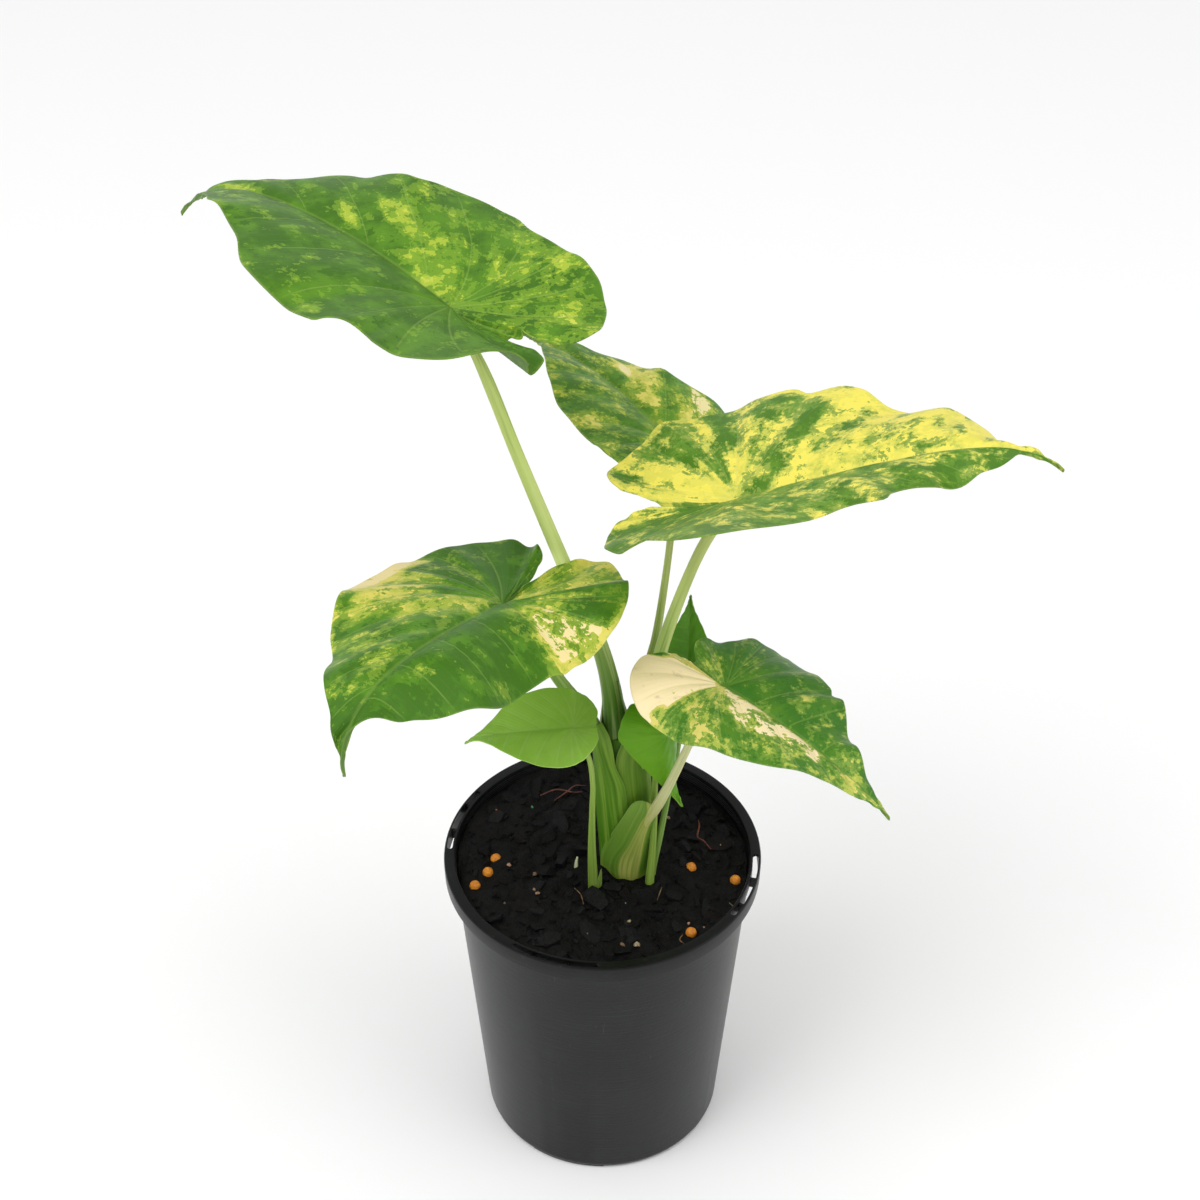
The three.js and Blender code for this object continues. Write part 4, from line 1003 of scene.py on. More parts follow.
@dataclass
class NurseryPot:
    """A round nursery pot with a flat rim flange, label slots and drain notches."""

    height: float = 152.5
    rim_radius: float = 70.0
    mouth_radius: float = 65.2
    base_radius: float = 53.9
    shoulder_radius: float = 65.0
    wall: float = 1.3
    floor: float = 2.0
    ledge_depth: float = 9.1
    band_depth: float = 6.1
    slot_inner: float = 66.4
    slot_outer: float = 68.9
    slot_span: float = 31.0
    skirt_depth: float = 7.9
    skirt_wall: float = 1.1
    notch_inner: float = 44.0
    notch_span: float = 33.0
    notch_height: float = 4.0
    notch_roof: float = 1.6
    feature_angles: tuple[float, ...] = (72.0, 162.0, 252.0, 342.0)
    gusset_angles: tuple[float, float] = (-9.0, 5.0)
    gusset_width: float = 1.2
    gusset_depth: float = 6.3
    gusset_cover: float = 1.5
    slot_depth: float = 1.8
    ring_lines: int = 9
    ring_depth: float = 0.22
    drain_ring: float = 47.0
    drain_radius: float = 3.0
    drain_offsets: tuple[float, float] = (-8.0, 8.0)
    turns: int = 144

    def profile(self) -> list[tuple[float, float]]:
        """The section of the wall as radius and height, from the middle of the floor round to it."""
        top, base = self.height, self.base_radius
        ledge = top - self.ledge_depth
        band = top - self.band_depth
        skirt = top - self.skirt_depth
        skirt_in = self.slot_outer - 0.2
        skirt_out = skirt_in + self.skirt_wall
        inner = self.shoulder_radius - self.wall
        rings = [
            (self.mouth_radius - 0.12 - 0.03 * i - self.ring_depth * (i % 2), top - 1.4 - 0.55 * i)
            for i in range(self.ring_lines)]
        return [
            (0, 0), (base - 4.2, 0), (base - 3.2, 0.0), (base - 2.0, 0.25), (base - 1.0, 0.9),
            (base - 0.35, 1.9), (base, 3.2), (base + 0.06, 4.0), (self.shoulder_radius - 0.05, ledge - 2.2),
            (self.shoulder_radius, ledge - 1.4), (self.shoulder_radius + 0.25, ledge - 0.4),
            (self.shoulder_radius + 0.6, ledge + 0.4), (self.slot_inner - 0.6, band - 1.4),
            (self.slot_inner - 0.2, band - 0.6), (self.slot_inner, band + 0.4),
            (self.slot_inner, top - 1.3), (self.slot_outer, top - 1.3), (skirt_in, skirt),
            (skirt_in + 0.25, skirt - 0.2),
            (skirt_out - 0.25, skirt - 0.2), (skirt_out, skirt), (self.rim_radius, top - 1.0),
            (self.rim_radius - 0.12, top - 0.45), (self.rim_radius - 0.45, top - 0.1),
            (self.rim_radius - 0.9, top), (self.mouth_radius + 0.6, top),
            (self.mouth_radius + 0.2, top - 0.12), (self.mouth_radius, top - 0.5),
            *rings, (self.mouth_radius - 0.5, band - 0.3), (inner + 0.4, ledge + 1.3), (inner, ledge),
            (base - self.wall + 0.1, 6), (base - self.wall - 0.6, 3.2), (base - self.wall - 2, self.floor),
            (0, self.floor),
        ]

    def spun_wall(self) -> bpy.types.Object:
        """Bends a ring of edges to the wall's section and spins it round the axis."""
        section = self.profile()
        Bench.clear()
        bpy.ops.mesh.primitive_circle_add(vertices=len(section), radius=1, fill_type="NOTHING")
        wall = bpy.context.object
        Bench.move(wall, np.array([(radius, 0, height) for radius, height in section]))
        bpy.ops.object.mode_set(mode="EDIT")
        bpy.ops.mesh.select_all(action="SELECT")
        bpy.ops.mesh.spin(steps=self.turns, angle=2 * math.pi, center=(0, 0, 0), axis=(0, 0, 1))
        bpy.ops.object.mode_set(mode="OBJECT")
        Bench.weld(wall, 0.02, outward=True)
        return wall

    def arc_block(self, inner: float, outer: float, middle: float, span: float, bottom: float, top: float,
                  taper: float = 1.0, rounded: bool = False) -> bpy.types.Object:
        """A block between two radii and two angles.

        Args:
            inner: Inner radius.
            outer: Outer radius.
            middle: Angle of its middle in degrees.
            span: Its width in degrees.
            bottom: Height of its underside.
            top: Height of its top.
            taper: What the width at the top is multiplied by.
            rounded: Whether its ends are half round.

        Returns:
            The closed block.
        """
        steps = 24
        ends = [i / 8 * math.pi for i in range(1, 8)] if rounded else []
        centre, cap = (inner + outer) / 2, (outer - inner) / 2
        half = math.radians(span) / 2
        outline = [(outer, half * (2 * i / steps - 1)) for i in range(steps + 1)]
        outline += [(centre + cap * math.cos(a), half + cap * math.sin(a) / centre) for a in ends]
        outline += [(inner, half * (1 - 2 * i / steps)) for i in range(steps + 1)]
        outline += [(centre - cap * math.cos(a), -half - cap * math.sin(a) / centre) for a in ends]
        Bench.clear()
        bpy.ops.mesh.primitive_circle_add(vertices=len(outline), radius=1, fill_type="NGON")
        block = bpy.context.object
        turn = math.radians(middle)
        Bench.move(block, np.array([
            (r * math.cos(turn + a), r * math.sin(turn + a), bottom) for r, a in outline]))
        bpy.ops.object.mode_set(mode="EDIT")
        bpy.ops.mesh.select_all(action="SELECT")
        bpy.ops.mesh.extrude_region_move(TRANSFORM_OT_translate={"value": (0, 0, (top - bottom) * MM)})
        bpy.ops.object.mode_set(mode="OBJECT")
        places = Bench.points(block)
        raised = places[:, 2] > (top + bottom) / 2
        angle = np.arctan2(places[:, 1], places[:, 0]) - turn
        angle = (angle + math.pi) % (2 * math.pi) - math.pi
        angle = np.where(raised, angle * taper, angle) + turn
        radius = np.hypot(places[:, 0], places[:, 1])
        Bench.move(block, np.column_stack([radius * np.cos(angle), radius * np.sin(angle), places[:, 2]]))
        Bench.weld(block, 0.005, outward=True)
        return block

    def drain_hole(self, angle: float) -> bpy.types.Object:
        """A plug in the shape of one round drain hole."""
        turn = math.radians(angle)
        Bench.clear()
        bpy.ops.mesh.primitive_cylinder_add(
            vertices=28, radius=self.drain_radius * MM, depth=12 * MM,
            location=(self.drain_ring * math.cos(turn) * MM, self.drain_ring * math.sin(turn) * MM, 4 * MM))
        plug = bpy.context.object
        bpy.ops.object.transform_apply(location=True)
        return plug

    def make(self) -> bpy.types.Object:
        """Builds the pot: spun wall, roofs over the notches, then slots, notches and holes cut."""
        wall = self.spun_wall()
        end = math.degrees(self.notch_roof / self.notch_inner)
        roofs = Bench.join("roofs", [
            self.arc_block(self.notch_inner - self.notch_roof, self.base_radius - self.wall / 2, angle,
                           self.notch_span + 2 * end, self.floor / 2, self.notch_height + self.notch_roof)
            for angle in self.feature_angles])
        cutters = []
        for angle in self.feature_angles:
            cutters.append(self.arc_block(self.slot_inner, self.slot_outer, angle, self.slot_span,
                                          self.height - self.slot_depth, self.height + 1, rounded=True))
            cutters.append(self.arc_block(self.notch_inner, self.base_radius + 4, angle, self.notch_span,
                                          -1, self.notch_height, taper=0.82))
            cutters += [self.drain_hole(angle + step) for step in self.drain_offsets]
        tool = Bench.join("cutters", cutters)
        Bench.modify(wall, "BOOLEAN", operation="UNION", solver="EXACT", object=roofs)
        Bench.modify(wall, "BOOLEAN", operation="DIFFERENCE", solver="EXACT", object=tool)
        for spare in (roofs, tool):
            bpy.data.objects.remove(spare)
        pot = Bench.join("nursery_pot", [wall, *self.gussets()])
        Bench.smooth(pot, 32)
        Bench.dress(pot, PotPlastic(rim_height=self.height - 5).mix())
        return Bench.settle(pot, "pot_plastic", "pot")

    def gussets(self) -> list[bpy.types.Object]:
        """The thin ribs that cross under each slot."""
        made = []
        for angle in self.feature_angles:
            for step in self.gusset_angles:
                made.append(self.arc_block(
                    self.slot_inner - 0.4, self.slot_outer + 0.4, angle + step,
                    math.degrees(self.gusset_width / self.slot_outer),
                    self.height - self.gusset_depth, self.height - self.gusset_cover))
        return made


# The growing mix


@dataclass
class GrowingMix:
    """Composted bark: a rough bed, slabs of bark on it, crumbs between them.

    heap holds the place and scale of each slab that is laid one by one, and stems the place of each stem
    with the room that the bark leaves it.
    """

    level: float = 145.6
    radius: float = 64.4
    slabs: int = 120
    chips: int = 420
    crumbs: int = 900
    seed: int = 11
    stem_hole: float = 7.0
    prill_room: float = 2.2
    slab_reach: float = 2.4
    clearance: float = 1.3
    lump: float = 0.12
    bed_lift: float = 0.2
    bed_rough: float = 0.9
    heap: Sequence[tuple[float, float, float, float]] = (
        (1.2, -12.6, 148.2, 0.8), (4.6, -14.2, 147.6, 0.9), (-0.8, -10.2, 148.6, 0.6),
        (7.6, -15.2, 146.8, 0.8), (3.4, -19.8, 146.6, 1.1), (15.5, -16.4, 146.6, 0.9))
    stems: Sequence[tuple[float, float, float]] = (
        (10.5, 2.0, 12.5), (10.3, -1.5, 12.0), (-4.1, -15.2, 2.6), (20.7, -12.3, 2.6), (21.6, -7.3, 2.4),
        (-11.7, -4.0, 1.6))

    def __post_init__(self) -> None:
        """Starts the seeded draw and finds the prills."""
        self.draw = np.random.default_rng(self.seed)
        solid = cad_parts["growing_mix"].data
        faces = [p.vertices for p in solid.polygons]
        self.tree = BVHTree.FromPolygons([v.co for v in solid.vertices], faces)
        self.prills = []
        for number in range(1, 7):
            low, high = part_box(f"prill_{number}")
            centre = (low + high) / 2 / MM
            self.prills.append((centre.x, centre.y, self.prill_room))

    def ground(self, x: float, y: float) -> float:
        """Height of the solid mix below a place, or its level where a stem stands."""
        place = self.tree.ray_cast(Vector((x * MM, y * MM, 1)), Vector((0, 0, -1)))[0]
        height = place.z / MM if place else self.level
        return height if height > self.level - self.stem_hole else self.level - 1

    def slab_shape(self, name: str, size: Triple, cuts: int) -> bpy.types.Object:
        """A flat broken piece of bark: a ball split off at random planes, then drawn out."""
        Bench.clear()
        bpy.ops.mesh.primitive_ico_sphere_add(subdivisions=2, radius=1)
        slab = bpy.context.object
        slab.name = name
        bpy.ops.object.mode_set(mode="EDIT")
        for i in range(cuts):
            angle = 2 * math.pi * (i + self.draw.uniform(-0.25, 0.25)) / cuts
            normal = Vector((math.cos(angle), math.sin(angle), self.draw.uniform(-0.5, 0.5))).normalized()
            bpy.ops.mesh.select_all(action="SELECT")
            bpy.ops.mesh.bisect(plane_co=normal * self.draw.uniform(0.42, 0.72), plane_no=normal,
                                use_fill=True, clear_outer=True)
        for sign in (1, -1):
            tilt = Vector((self.draw.uniform(-0.2, 0.2), self.draw.uniform(-0.2, 0.2), sign)).normalized()
            bpy.ops.mesh.select_all(action="SELECT")
            bpy.ops.mesh.bisect(plane_co=tilt * self.draw.uniform(0.35, 0.6), plane_no=tilt,
                                use_fill=True, clear_outer=True)
        bpy.ops.object.mode_set(mode="OBJECT")
        places = Bench.points(slab) * MM
        lumps = np.array([
            noise.noise(Vector(p) * 1.7 + Vector((self.draw.uniform(0, 9), 0, 0))) for p in places])
        Bench.move(slab, places * (1 + self.lump * lumps)[:, None] * np.array(size))
        Bench.weld(slab, 0.02, outward=True)
        return slab

    def scatter(self, shapes: Sequence[bpy.types.Object], count: int, sizes: tuple[float, float],
                tilt: float, lift: float, name: str, finishes: Sequence[bpy.types.Material], spread: float
                ) -> bpy.types.Object:
        """Lays turned copies of the shapes over the mix and joins them.

        Args:
            shapes: The modelled variants.
            count: How many copies are laid.
            sizes: The smallest and the largest scale of a copy.
            tilt: The most that a copy leans, in radians.
            lift: How far the middle of a copy stands above the ground, in its own scale.
            name: The joined piece's name.
            finishes: The materials that the copies take in turn.
            spread: How far apart two copies lie at least, in their own scale.

        Returns:
            The joined piece.
        """
        placed: list[tuple[float, float, float]] = []
        copies = []
        tries = 0
        while len(copies) < count and tries < count * 60:
            tries += 1
            scale = sizes[0] + (sizes[1] - sizes[0]) * self.draw.random() ** 1.6
            radius = (self.radius - self.slab_reach * scale) * math.sqrt(self.draw.random())
            angle = self.draw.uniform(0, 2 * math.pi)
            x, y = radius * math.cos(angle), radius * math.sin(angle)
            room = self.clearance * scale
            if any(math.hypot(x - a, y - b) < c + room for a, b, c in (*self.stems, *self.prills)):
                continue
            if any(math.hypot(x - a, y - b) < spread * (scale + c) / 2 for a, b, c in placed):
                continue
            placed.append((x, y, scale))
            shape = shapes[int(self.draw.integers(len(shapes)))]
            copy = bpy.data.objects.new(name, shape.data.copy())
            bpy.context.collection.objects.link(copy)
            lean = Matrix.Rotation(self.draw.uniform(-tilt, tilt), 4, "X") @ Matrix.Rotation(
                self.draw.uniform(-tilt, tilt), 4, "Y")
            spin = Matrix.Rotation(self.draw.uniform(0, 2 * math.pi), 4, "Z")
            height = self.ground(x, y) + lift * scale
            copy.data.transform(Matrix.Translation(Vector((x, y, height)) * MM) @ spin @ lean
                                @ Matrix.Diagonal((scale, scale, scale * self.draw.uniform(0.7, 1.2), 1)))
            copy.data.materials.clear()
            copy.data.materials.append(finishes[len(copies) % len(finishes)])
            copies.append(copy)
        return Bench.join(name, copies)

    def make(self) -> None:
        """Builds the bed, the slabs, the chips and the crumbs, and dresses the solid below them."""
        black, brown, grey = (BarkFinish(sort).mix() for sort in Bark)
        Bench.dress(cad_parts["growing_mix"], black)
        bed = self.make_bed()
        Bench.dress(bed, black)
        Bench.settle(bed, "bark_mix")
        draw = self.draw.uniform
        slabs = [
            self.slab_shape("slab", (draw(3.2, 4.2), draw(2.0, 3.0), draw(1.2, 2.0)), 6) for _ in range(8)]
        crumbs = [self.slab_shape("crumb", (1.0, draw(0.5, 0.9), draw(0.4, 0.8)), 4) for _ in range(4)]
        layers = (
            ("bark_slabs", slabs, self.slabs, (1.3, 2.5), 0.45, 0.5, (black, grey, black, brown), 3.6),
            ("bark_chips", slabs, self.chips, (0.45, 1.1), 0.85, 0.9, (black, brown, grey, black), 3.8),
            ("bark_crumbs", crumbs, self.crumbs, (0.7, 1.7), 1.0, 0.9, (black, brown, grey), 1.2),
        )
        for name, shapes, count, sizes, tilt, lift, finishes, spread in layers:
            layer = self.scatter(shapes, count, sizes, tilt, lift, name, finishes, spread)
            Bench.smooth(layer, 24)
            Bench.settle(layer, "bark_mix")
        self.lay_heap(slabs, (black, grey))
        for shape in (*slabs, *crumbs):
            bpy.data.objects.remove(shape)

    def lay_heap(self, shapes: Sequence[bpy.types.Object], finishes: Sequence[bpy.types.Material]) -> None:
        """Lays a few listed slabs against the foot of the stem."""
        copies = []
        for number, (x, y, z, scale) in enumerate(self.heap):
            copy = bpy.data.objects.new("bark_heap", shapes[number].data.copy())
            bpy.context.collection.objects.link(copy)
            turned = Matrix.Rotation(2.1 * number, 4, "Z") @ Matrix.Rotation(0.35, 4, "X")
            moved = Matrix.Translation(Vector((x, y, z)) * MM)
            copy.data.transform(moved @ turned @ Matrix.Scale(scale, 4))
            copy.data.materials.clear()
            copy.data.materials.append(finishes[number % len(finishes)])
            copies.append(copy)
        heap = Bench.join("bark_heap", copies)
        Bench.smooth(heap, 24)
        Bench.settle(heap, "bark_mix")

    def make_bed(self) -> bpy.types.Object:
        """A rough disc just over the solid mix, turned down at the wall."""
        def form(turn: np.ndarray, share: np.ndarray) -> np.ndarray:
            """Places on the rough disc."""
            angle = 2 * np.pi * turn
            radius = self.radius * share ** 0.7
            x, y = radius * np.cos(angle), radius * np.sin(angle)
            rough = np.array([noise.fractal(Vector((a * 0.22, b * 0.22, 3.1)), 0.8, 2.2, 4)
                              for a, b in zip(x, y)])
            ground = np.array([self.ground(a, b) for a, b in zip(x * 0.985, y * 0.985)])
            return np.column_stack([x, y, ground + self.bed_lift + self.bed_rough * rough])

        bed = Bench.formed("bark_bed", 200, 60, form)
        Bench.weld(bed, 0.02)
        Bench.modify(bed, "SOLIDIFY", thickness=1.0 * MM, offset=-1.0)
        Bench.smooth(bed, 80)
        return bed


@dataclass
class Litter:
    """What lies on the mix besides bark: fertiliser prills, pale bits, roots and a sprout.

    bits holds the place, size and colour of each pale bit, and roots the colour, the points with
    their height over the ground and the radius of each root.
    """

    mix: GrowingMix
    prills: int = 6
    bit_lift: float = 3.2
    root_lift: float = 0.8
    prill_lump: float = 0.05
    bits: Sequence[tuple[float, float, float, str]] = (
        (14.7, -52.0, 2.1, "c9b48f"), (8.5, -53.0, 1.7, "7d5f3c"), (-41.3, -5.0, 1.3, "cf9a80"),
        (-29.7, -9.2, 1.5, "6d4630"), (-30.0, -19.0, 1.2, "b98a6a"), (-28.2, -21.6, 1.2, "cd947c"),
        (11.4, -39.8, 1.2, "c3bd8e"), (-31.8, 31.3, 0.9, "1f9a63"), (29.5, 28.0, 1.6, "a5967c"),
        (27.8, 26.0, 0.8, "c8761f"), (37.0, -40.8, 0.9, "cf9a80"), (43.5, -43.5, 0.6, "c0a890"),
        (-47.8, 29.0, 0.6, "b5562e"), (52.5, 8.0, 0.5, "d8b8a0"), (-42.5, -29.0, 0.7, "6a6a66"),
        (10.0, -28.0, 0.35, "d0d0c8"), (-6.5, -45.0, 0.4, "c8b8a8"))
    roots: Sequence[tuple[str, Sequence[tuple[float, float, float]], float]] = (
        ("9c4a34", ((43.3, 28.6, 1.6), (43.6, 22.5, 2.4), (42.6, 15.5, 2.2), (45.2, 9.5, 2.6),
                    (48.3, 5.6, 1.4)), 0.42),
        ("7d4434", ((-28.5, 39.5, 1.4), (-21.0, 42.2, 2.8), (-13.0, 40.2, 2.2), (-9.0, 41.5, 1.2)), 0.36),
        ("6f3d30", ((-22.0, 36.0, 1.4), (-16.0, 40.5, 2.6), (-12.5, 45.5, 2.0), (-7.5, 47.0, 1.2)), 0.33),
        ("a07a52", ((-12.4, -17.0, 1.5), (-9.5, -22.5, 2.7), (-8.2, -27.2, 1.5)), 0.22),
        ("8d7a52", ((26.0, -16.6, 1.6), (24.6, -22.0, 2.6), (23.8, -25.0, 1.6)), 0.26),
        ("8f8a50", ((55.0, -27.0, 2.0), (57.2, -31.0, 2.8), (58.4, -33.5, 1.8)), 0.25),
        ("9a7a48", ((34.4, -47.0, 1.6), (33.0, -50.5, 2.6), (35.0, -53.0, 1.6)), 0.28))

    def make_prills(self) -> None:
        """Builds the round orange prills where the frame has them."""
        coat = GrainFinish("prill_coat", "ec9a26", "c8741a", 0.5, 0.7).mix()
        for number in range(1, self.prills + 1):
            node = f"prill_{number}"
            low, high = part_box(node)
            centre, radius = (low + high) / 2, (high - low).length / 2 / math.sqrt(3)
            Bench.clear()
            bpy.ops.mesh.primitive_ico_sphere_add(subdivisions=4, radius=radius, location=centre)
            ball = bpy.context.object
            bpy.ops.object.transform_apply(location=True)
            places = Bench.points(ball)
            middle = np.array(centre) / MM
            out = places - middle
            lumps = np.array([noise.noise(Vector(p) * 0.9 + Vector((number, 0, 0))) for p in out])
            Bench.move(ball, middle + out * (1 + self.prill_lump * lumps)[:, None])
            ball.name = node + "_coat"
            Bench.smooth(ball, 80)
            Bench.dress(ball, coat)
            Bench.settle(ball, "prill", node)

    def make_bits(self) -> None:
        """Lays the small pale bits on the bark."""
        for number, (x, y, size, colour) in enumerate(self.bits, 1):
            bit = self.mix.slab_shape(f"pale_bit_{number}", (size, size * 0.75, size * 0.55), 5)
            bit.name = f"pale_bit_{number}"
            height = self.mix.ground(x, y) + self.bit_lift
            bit.data.transform(
                Matrix.Translation(Vector((x, y, height)) * MM) @ Matrix.Rotation(number, 4, "Z"))
            Bench.dress(bit, GrainFinish(bit.name, colour, "6b5844").mix())
            Bench.settle(bit, "bark_mix")

    def make_roots(self) -> None:
        """Lays the thin dry roots over the bark."""
        for number, (colour, points, radius) in enumerate(self.roots, 1):
            path = [(x, y, self.mix.ground(x, y) + lift + self.root_lift) for x, y, lift in points]
            root = Stalk(path, (radius * 0.5, radius, radius * 0.9, radius * 0.4), sides=8, rings=36).make(
                f"dry_root_{number}")
            Bench.dress(root, GrainFinish(root.name, colour, "4a2a20", 0.6, 0.5).mix())
            Bench.settle(root, "bark_mix")

    def make(self) -> None:
        """Builds all of it."""
        self.make_prills()
        self.make_bits()
        self.make_roots()
        sprout = Stalk([(-11.8, -4.4, 134), (-11.7, -4, 145.5), (-11.5, -3.8, 150), (-11, -3.6, 153)],
                       (0.9, 1, 0.9, 0.35), sides=14, rings=30).make("sprout_shoot")
        Bench.dress(sprout, StalkSkin("sprout_skin", "b9c98a", "e6e8c4", "a9c070").mix())
        Bench.settle(sprout, "sprout", "sprout")


# The stem


@dataclass
class Pseudostem:
    """The stem of wrapped leaf sheaths: a core, and round it the sheaths of five stalks.

    A sheath is laid through rings of points from its foot up, each ring from one free margin round
    to the other. Angles are in degrees from +X, so that 270 is the front. standoff is the room
    between the core and a sheath.
    """

    stalk: Stalk = field(default_factory=lambda: Stalk(
        [(10.5, 2, 112), (10.5, 2, 132), (10.4, 2, 156), (9.6, 1.8, 180), (8.8, 1.4, 200), (8, 1, 214),
         (7.6, 0.8, 223)],
        (5, 8.6, 8.5, 8.4, 8.3, 8.2, 7.6, 5), (1.1, 1.13, 1.26, 1.35, 1.42, 1.44, 1.4, 1.2),
        sides=96, rings=90))
    standoff: float = 0.45
    thickness: float = 0.4
    columns: int = 54
    rows: int = 120

    @staticmethod
    def ring(x: float, y: float, z: float, wide: float, deep: float,
             angles: Sequence[float]) -> list[Triple]:
        """Points at the given angles on an oval round a centre."""
        turns = [math.radians(angle) for angle in angles]
        return [(x + wide * math.cos(turn), y + deep * math.sin(turn), z) for turn in turns]

    def hug(self, z: float, angles: Sequence[float], extra: float = 0.0) -> list[Triple]:
        """Points just off the core at a height."""
        spine = Spine(self.stalk.points)
        share = float(np.interp(z, spine.path[:, 2], spine.run)) / spine.length
        x, y, _ = spine.at(np.array([share]))[0]
        deep = float(smooth(self.stalk.radii, np.array([share]))[0])
        wide = deep * float(smooth(self.stalk.wide, np.array([share]))[0])
        room = self.standoff + extra
        return self.ring(x, y, z, wide + room, deep + room, angles)

    def sheath(self, name: str, rings: Sequence[Sequence[Triple]], skin: StalkSkin) -> bpy.types.Object:
        """Lays one sheath through its rings and gives it its thickness.

        Args:
            name: The piece's name.
            rings: Points from margin to margin, one ring above another.
            skin: Its finish.

        Returns:
            The finished sheath.
        """
        knots = np.array(rings, float)
        length = float(np.linalg.norm(np.diff(knots[:, 2], axis=0), axis=1).sum())

        def form(turn: np.ndarray, share: np.ndarray) -> np.ndarray:
            """Places on the sheath: smooth up each column, then smooth across the columns."""
            columns = np.stack([
                np.column_stack([smooth(knots[:, column, axis], share) for axis in range(3)])
                for column in range(knots.shape[1])])
            place = turn * (len(columns) - 1)
            first = np.minimum(place.astype(int), len(columns) - 2)
            t = (place - first)[:, None]
            every = np.arange(len(turn))
            padded = np.concatenate([
                [2 * columns[0] - columns[1]], columns, [2 * columns[-1] - columns[-2]]])
            return between(*(padded[first + i, every] for i in range(4)), t)

        def marks(turn: np.ndarray, share: np.ndarray) -> dict:
            """What the sheath's finish reads."""
            return {"stalk": (share * length, share, turn)}

        sheet = Bench.formed(name, self.columns, self.rows, form, marks)
        Bench.weld(sheet, 0.01)
        Bench.dress(sheet, skin.mix())
        Bench.modify(sheet, "SOLIDIFY", thickness=self.thickness * MM, offset=-1.0, use_even_offset=False)
        Bench.smooth(sheet, 60)
        return Bench.settle(sheet, "stem")

    def make(self) -> None:
        """Builds the core and the sheaths."""
        core = self.stalk.make("pseudostem_core")
        Bench.dress(core, StalkSkin("core_skin", "5a8326", "558426", "7da03c", 0.6, dark="3a6414").mix())
        Bench.settle(core, "stem", "pseudostem")
        self.back_sheath()
        self.right_sheath()
        self.left_sheath()
        self.front_sheath()
        self.side_sheath()

    def back_sheath(self) -> None:
        """The sheath of leaf A's stalk, behind."""
        wide = (-20, 30, 90, 150, 205)
        self.sheath("sheath_back", [
            *(self.hug(z, wide) for z in (150, 170, 190, 204)),
            self.ring(7.4, 1.5, 216, 10.4, 8.0, wide), self.ring(5.4, 1.7, 228, 7.0, 6.0, wide),
            self.ring(4.2, 2.0, 240, 4.7, 4.6, wide), self.ring(3.0, 2.4, 251, 4.0, 4.0, wide),
        ], StalkSkin("sheath_back_skin", "557f24", "56842a", "7da040", 0.5, margin=0.3))

    def right_sheath(self) -> None:
        """The sheath of leaf D's stalk, on the right."""
        self.sheath("sheath_right", [
            self.hug(146, (262, 300, 340, 380, 420)), self.hug(164, (262, 300, 340, 380, 420)),
            self.hug(182, (262, 296, 335, 378, 420)), self.hug(200, (258, 292, 330, 375, 420)),
            self.ring(9.0, 1.2, 213, 11.0, 8.4, (252, 288, 328, 373, 420)),
            self.ring(11.5, 0.6, 223, 9.0, 7.2, (248, 288, 328, 375, 430)),
            self.ring(15.4, -0.4, 233, 5.8, 5.0, (240, 285, 330, 385, 440)),
            self.ring(19.4, -0.9, 243, 3.7, 3.5, (230, 280, 330, 390, 460)),
        ], StalkSkin("sheath_right_skin", "5f8522", "6f9630", "8aa940", 0.6, margin=0.1, dark="507a20"))

    def left_sheath(self) -> None:
        """The sheath of leaf B's stalk, over the front and left, its margin a crease down the front."""
        self.sheath("sheath_left", [
            self.hug(146, (130, 180, 225, 258, 288), 0.3), self.hug(160, (130, 180, 225, 256, 284), 0.3),
            self.hug(173, (130, 180, 225, 254, 280), 0.35), self.hug(186, (130, 178, 222, 250, 277), 0.35),
            self.hug(199, (130, 175, 215, 246, 273), 0.4),
            self.ring(6.8, 0.2, 211, 11.0, 8.5, (125, 172, 212, 240, 264)),
            self.ring(2.6, -2.3, 220, 7.3, 6.4, (120, 170, 212, 245, 285)),
            self.ring(-0.6, -4.9, 228, 4.6, 4.5, (110, 165, 215, 255, 320)),
            self.ring(-3.4, -6.6, 236, 3.2, 3.1, (90, 160, 215, 265, 345)),
        ], StalkSkin("sheath_left_skin", "4a7f14", "6a9030", "83a63c", 0.75, margin=0.12, dark="44701a"))

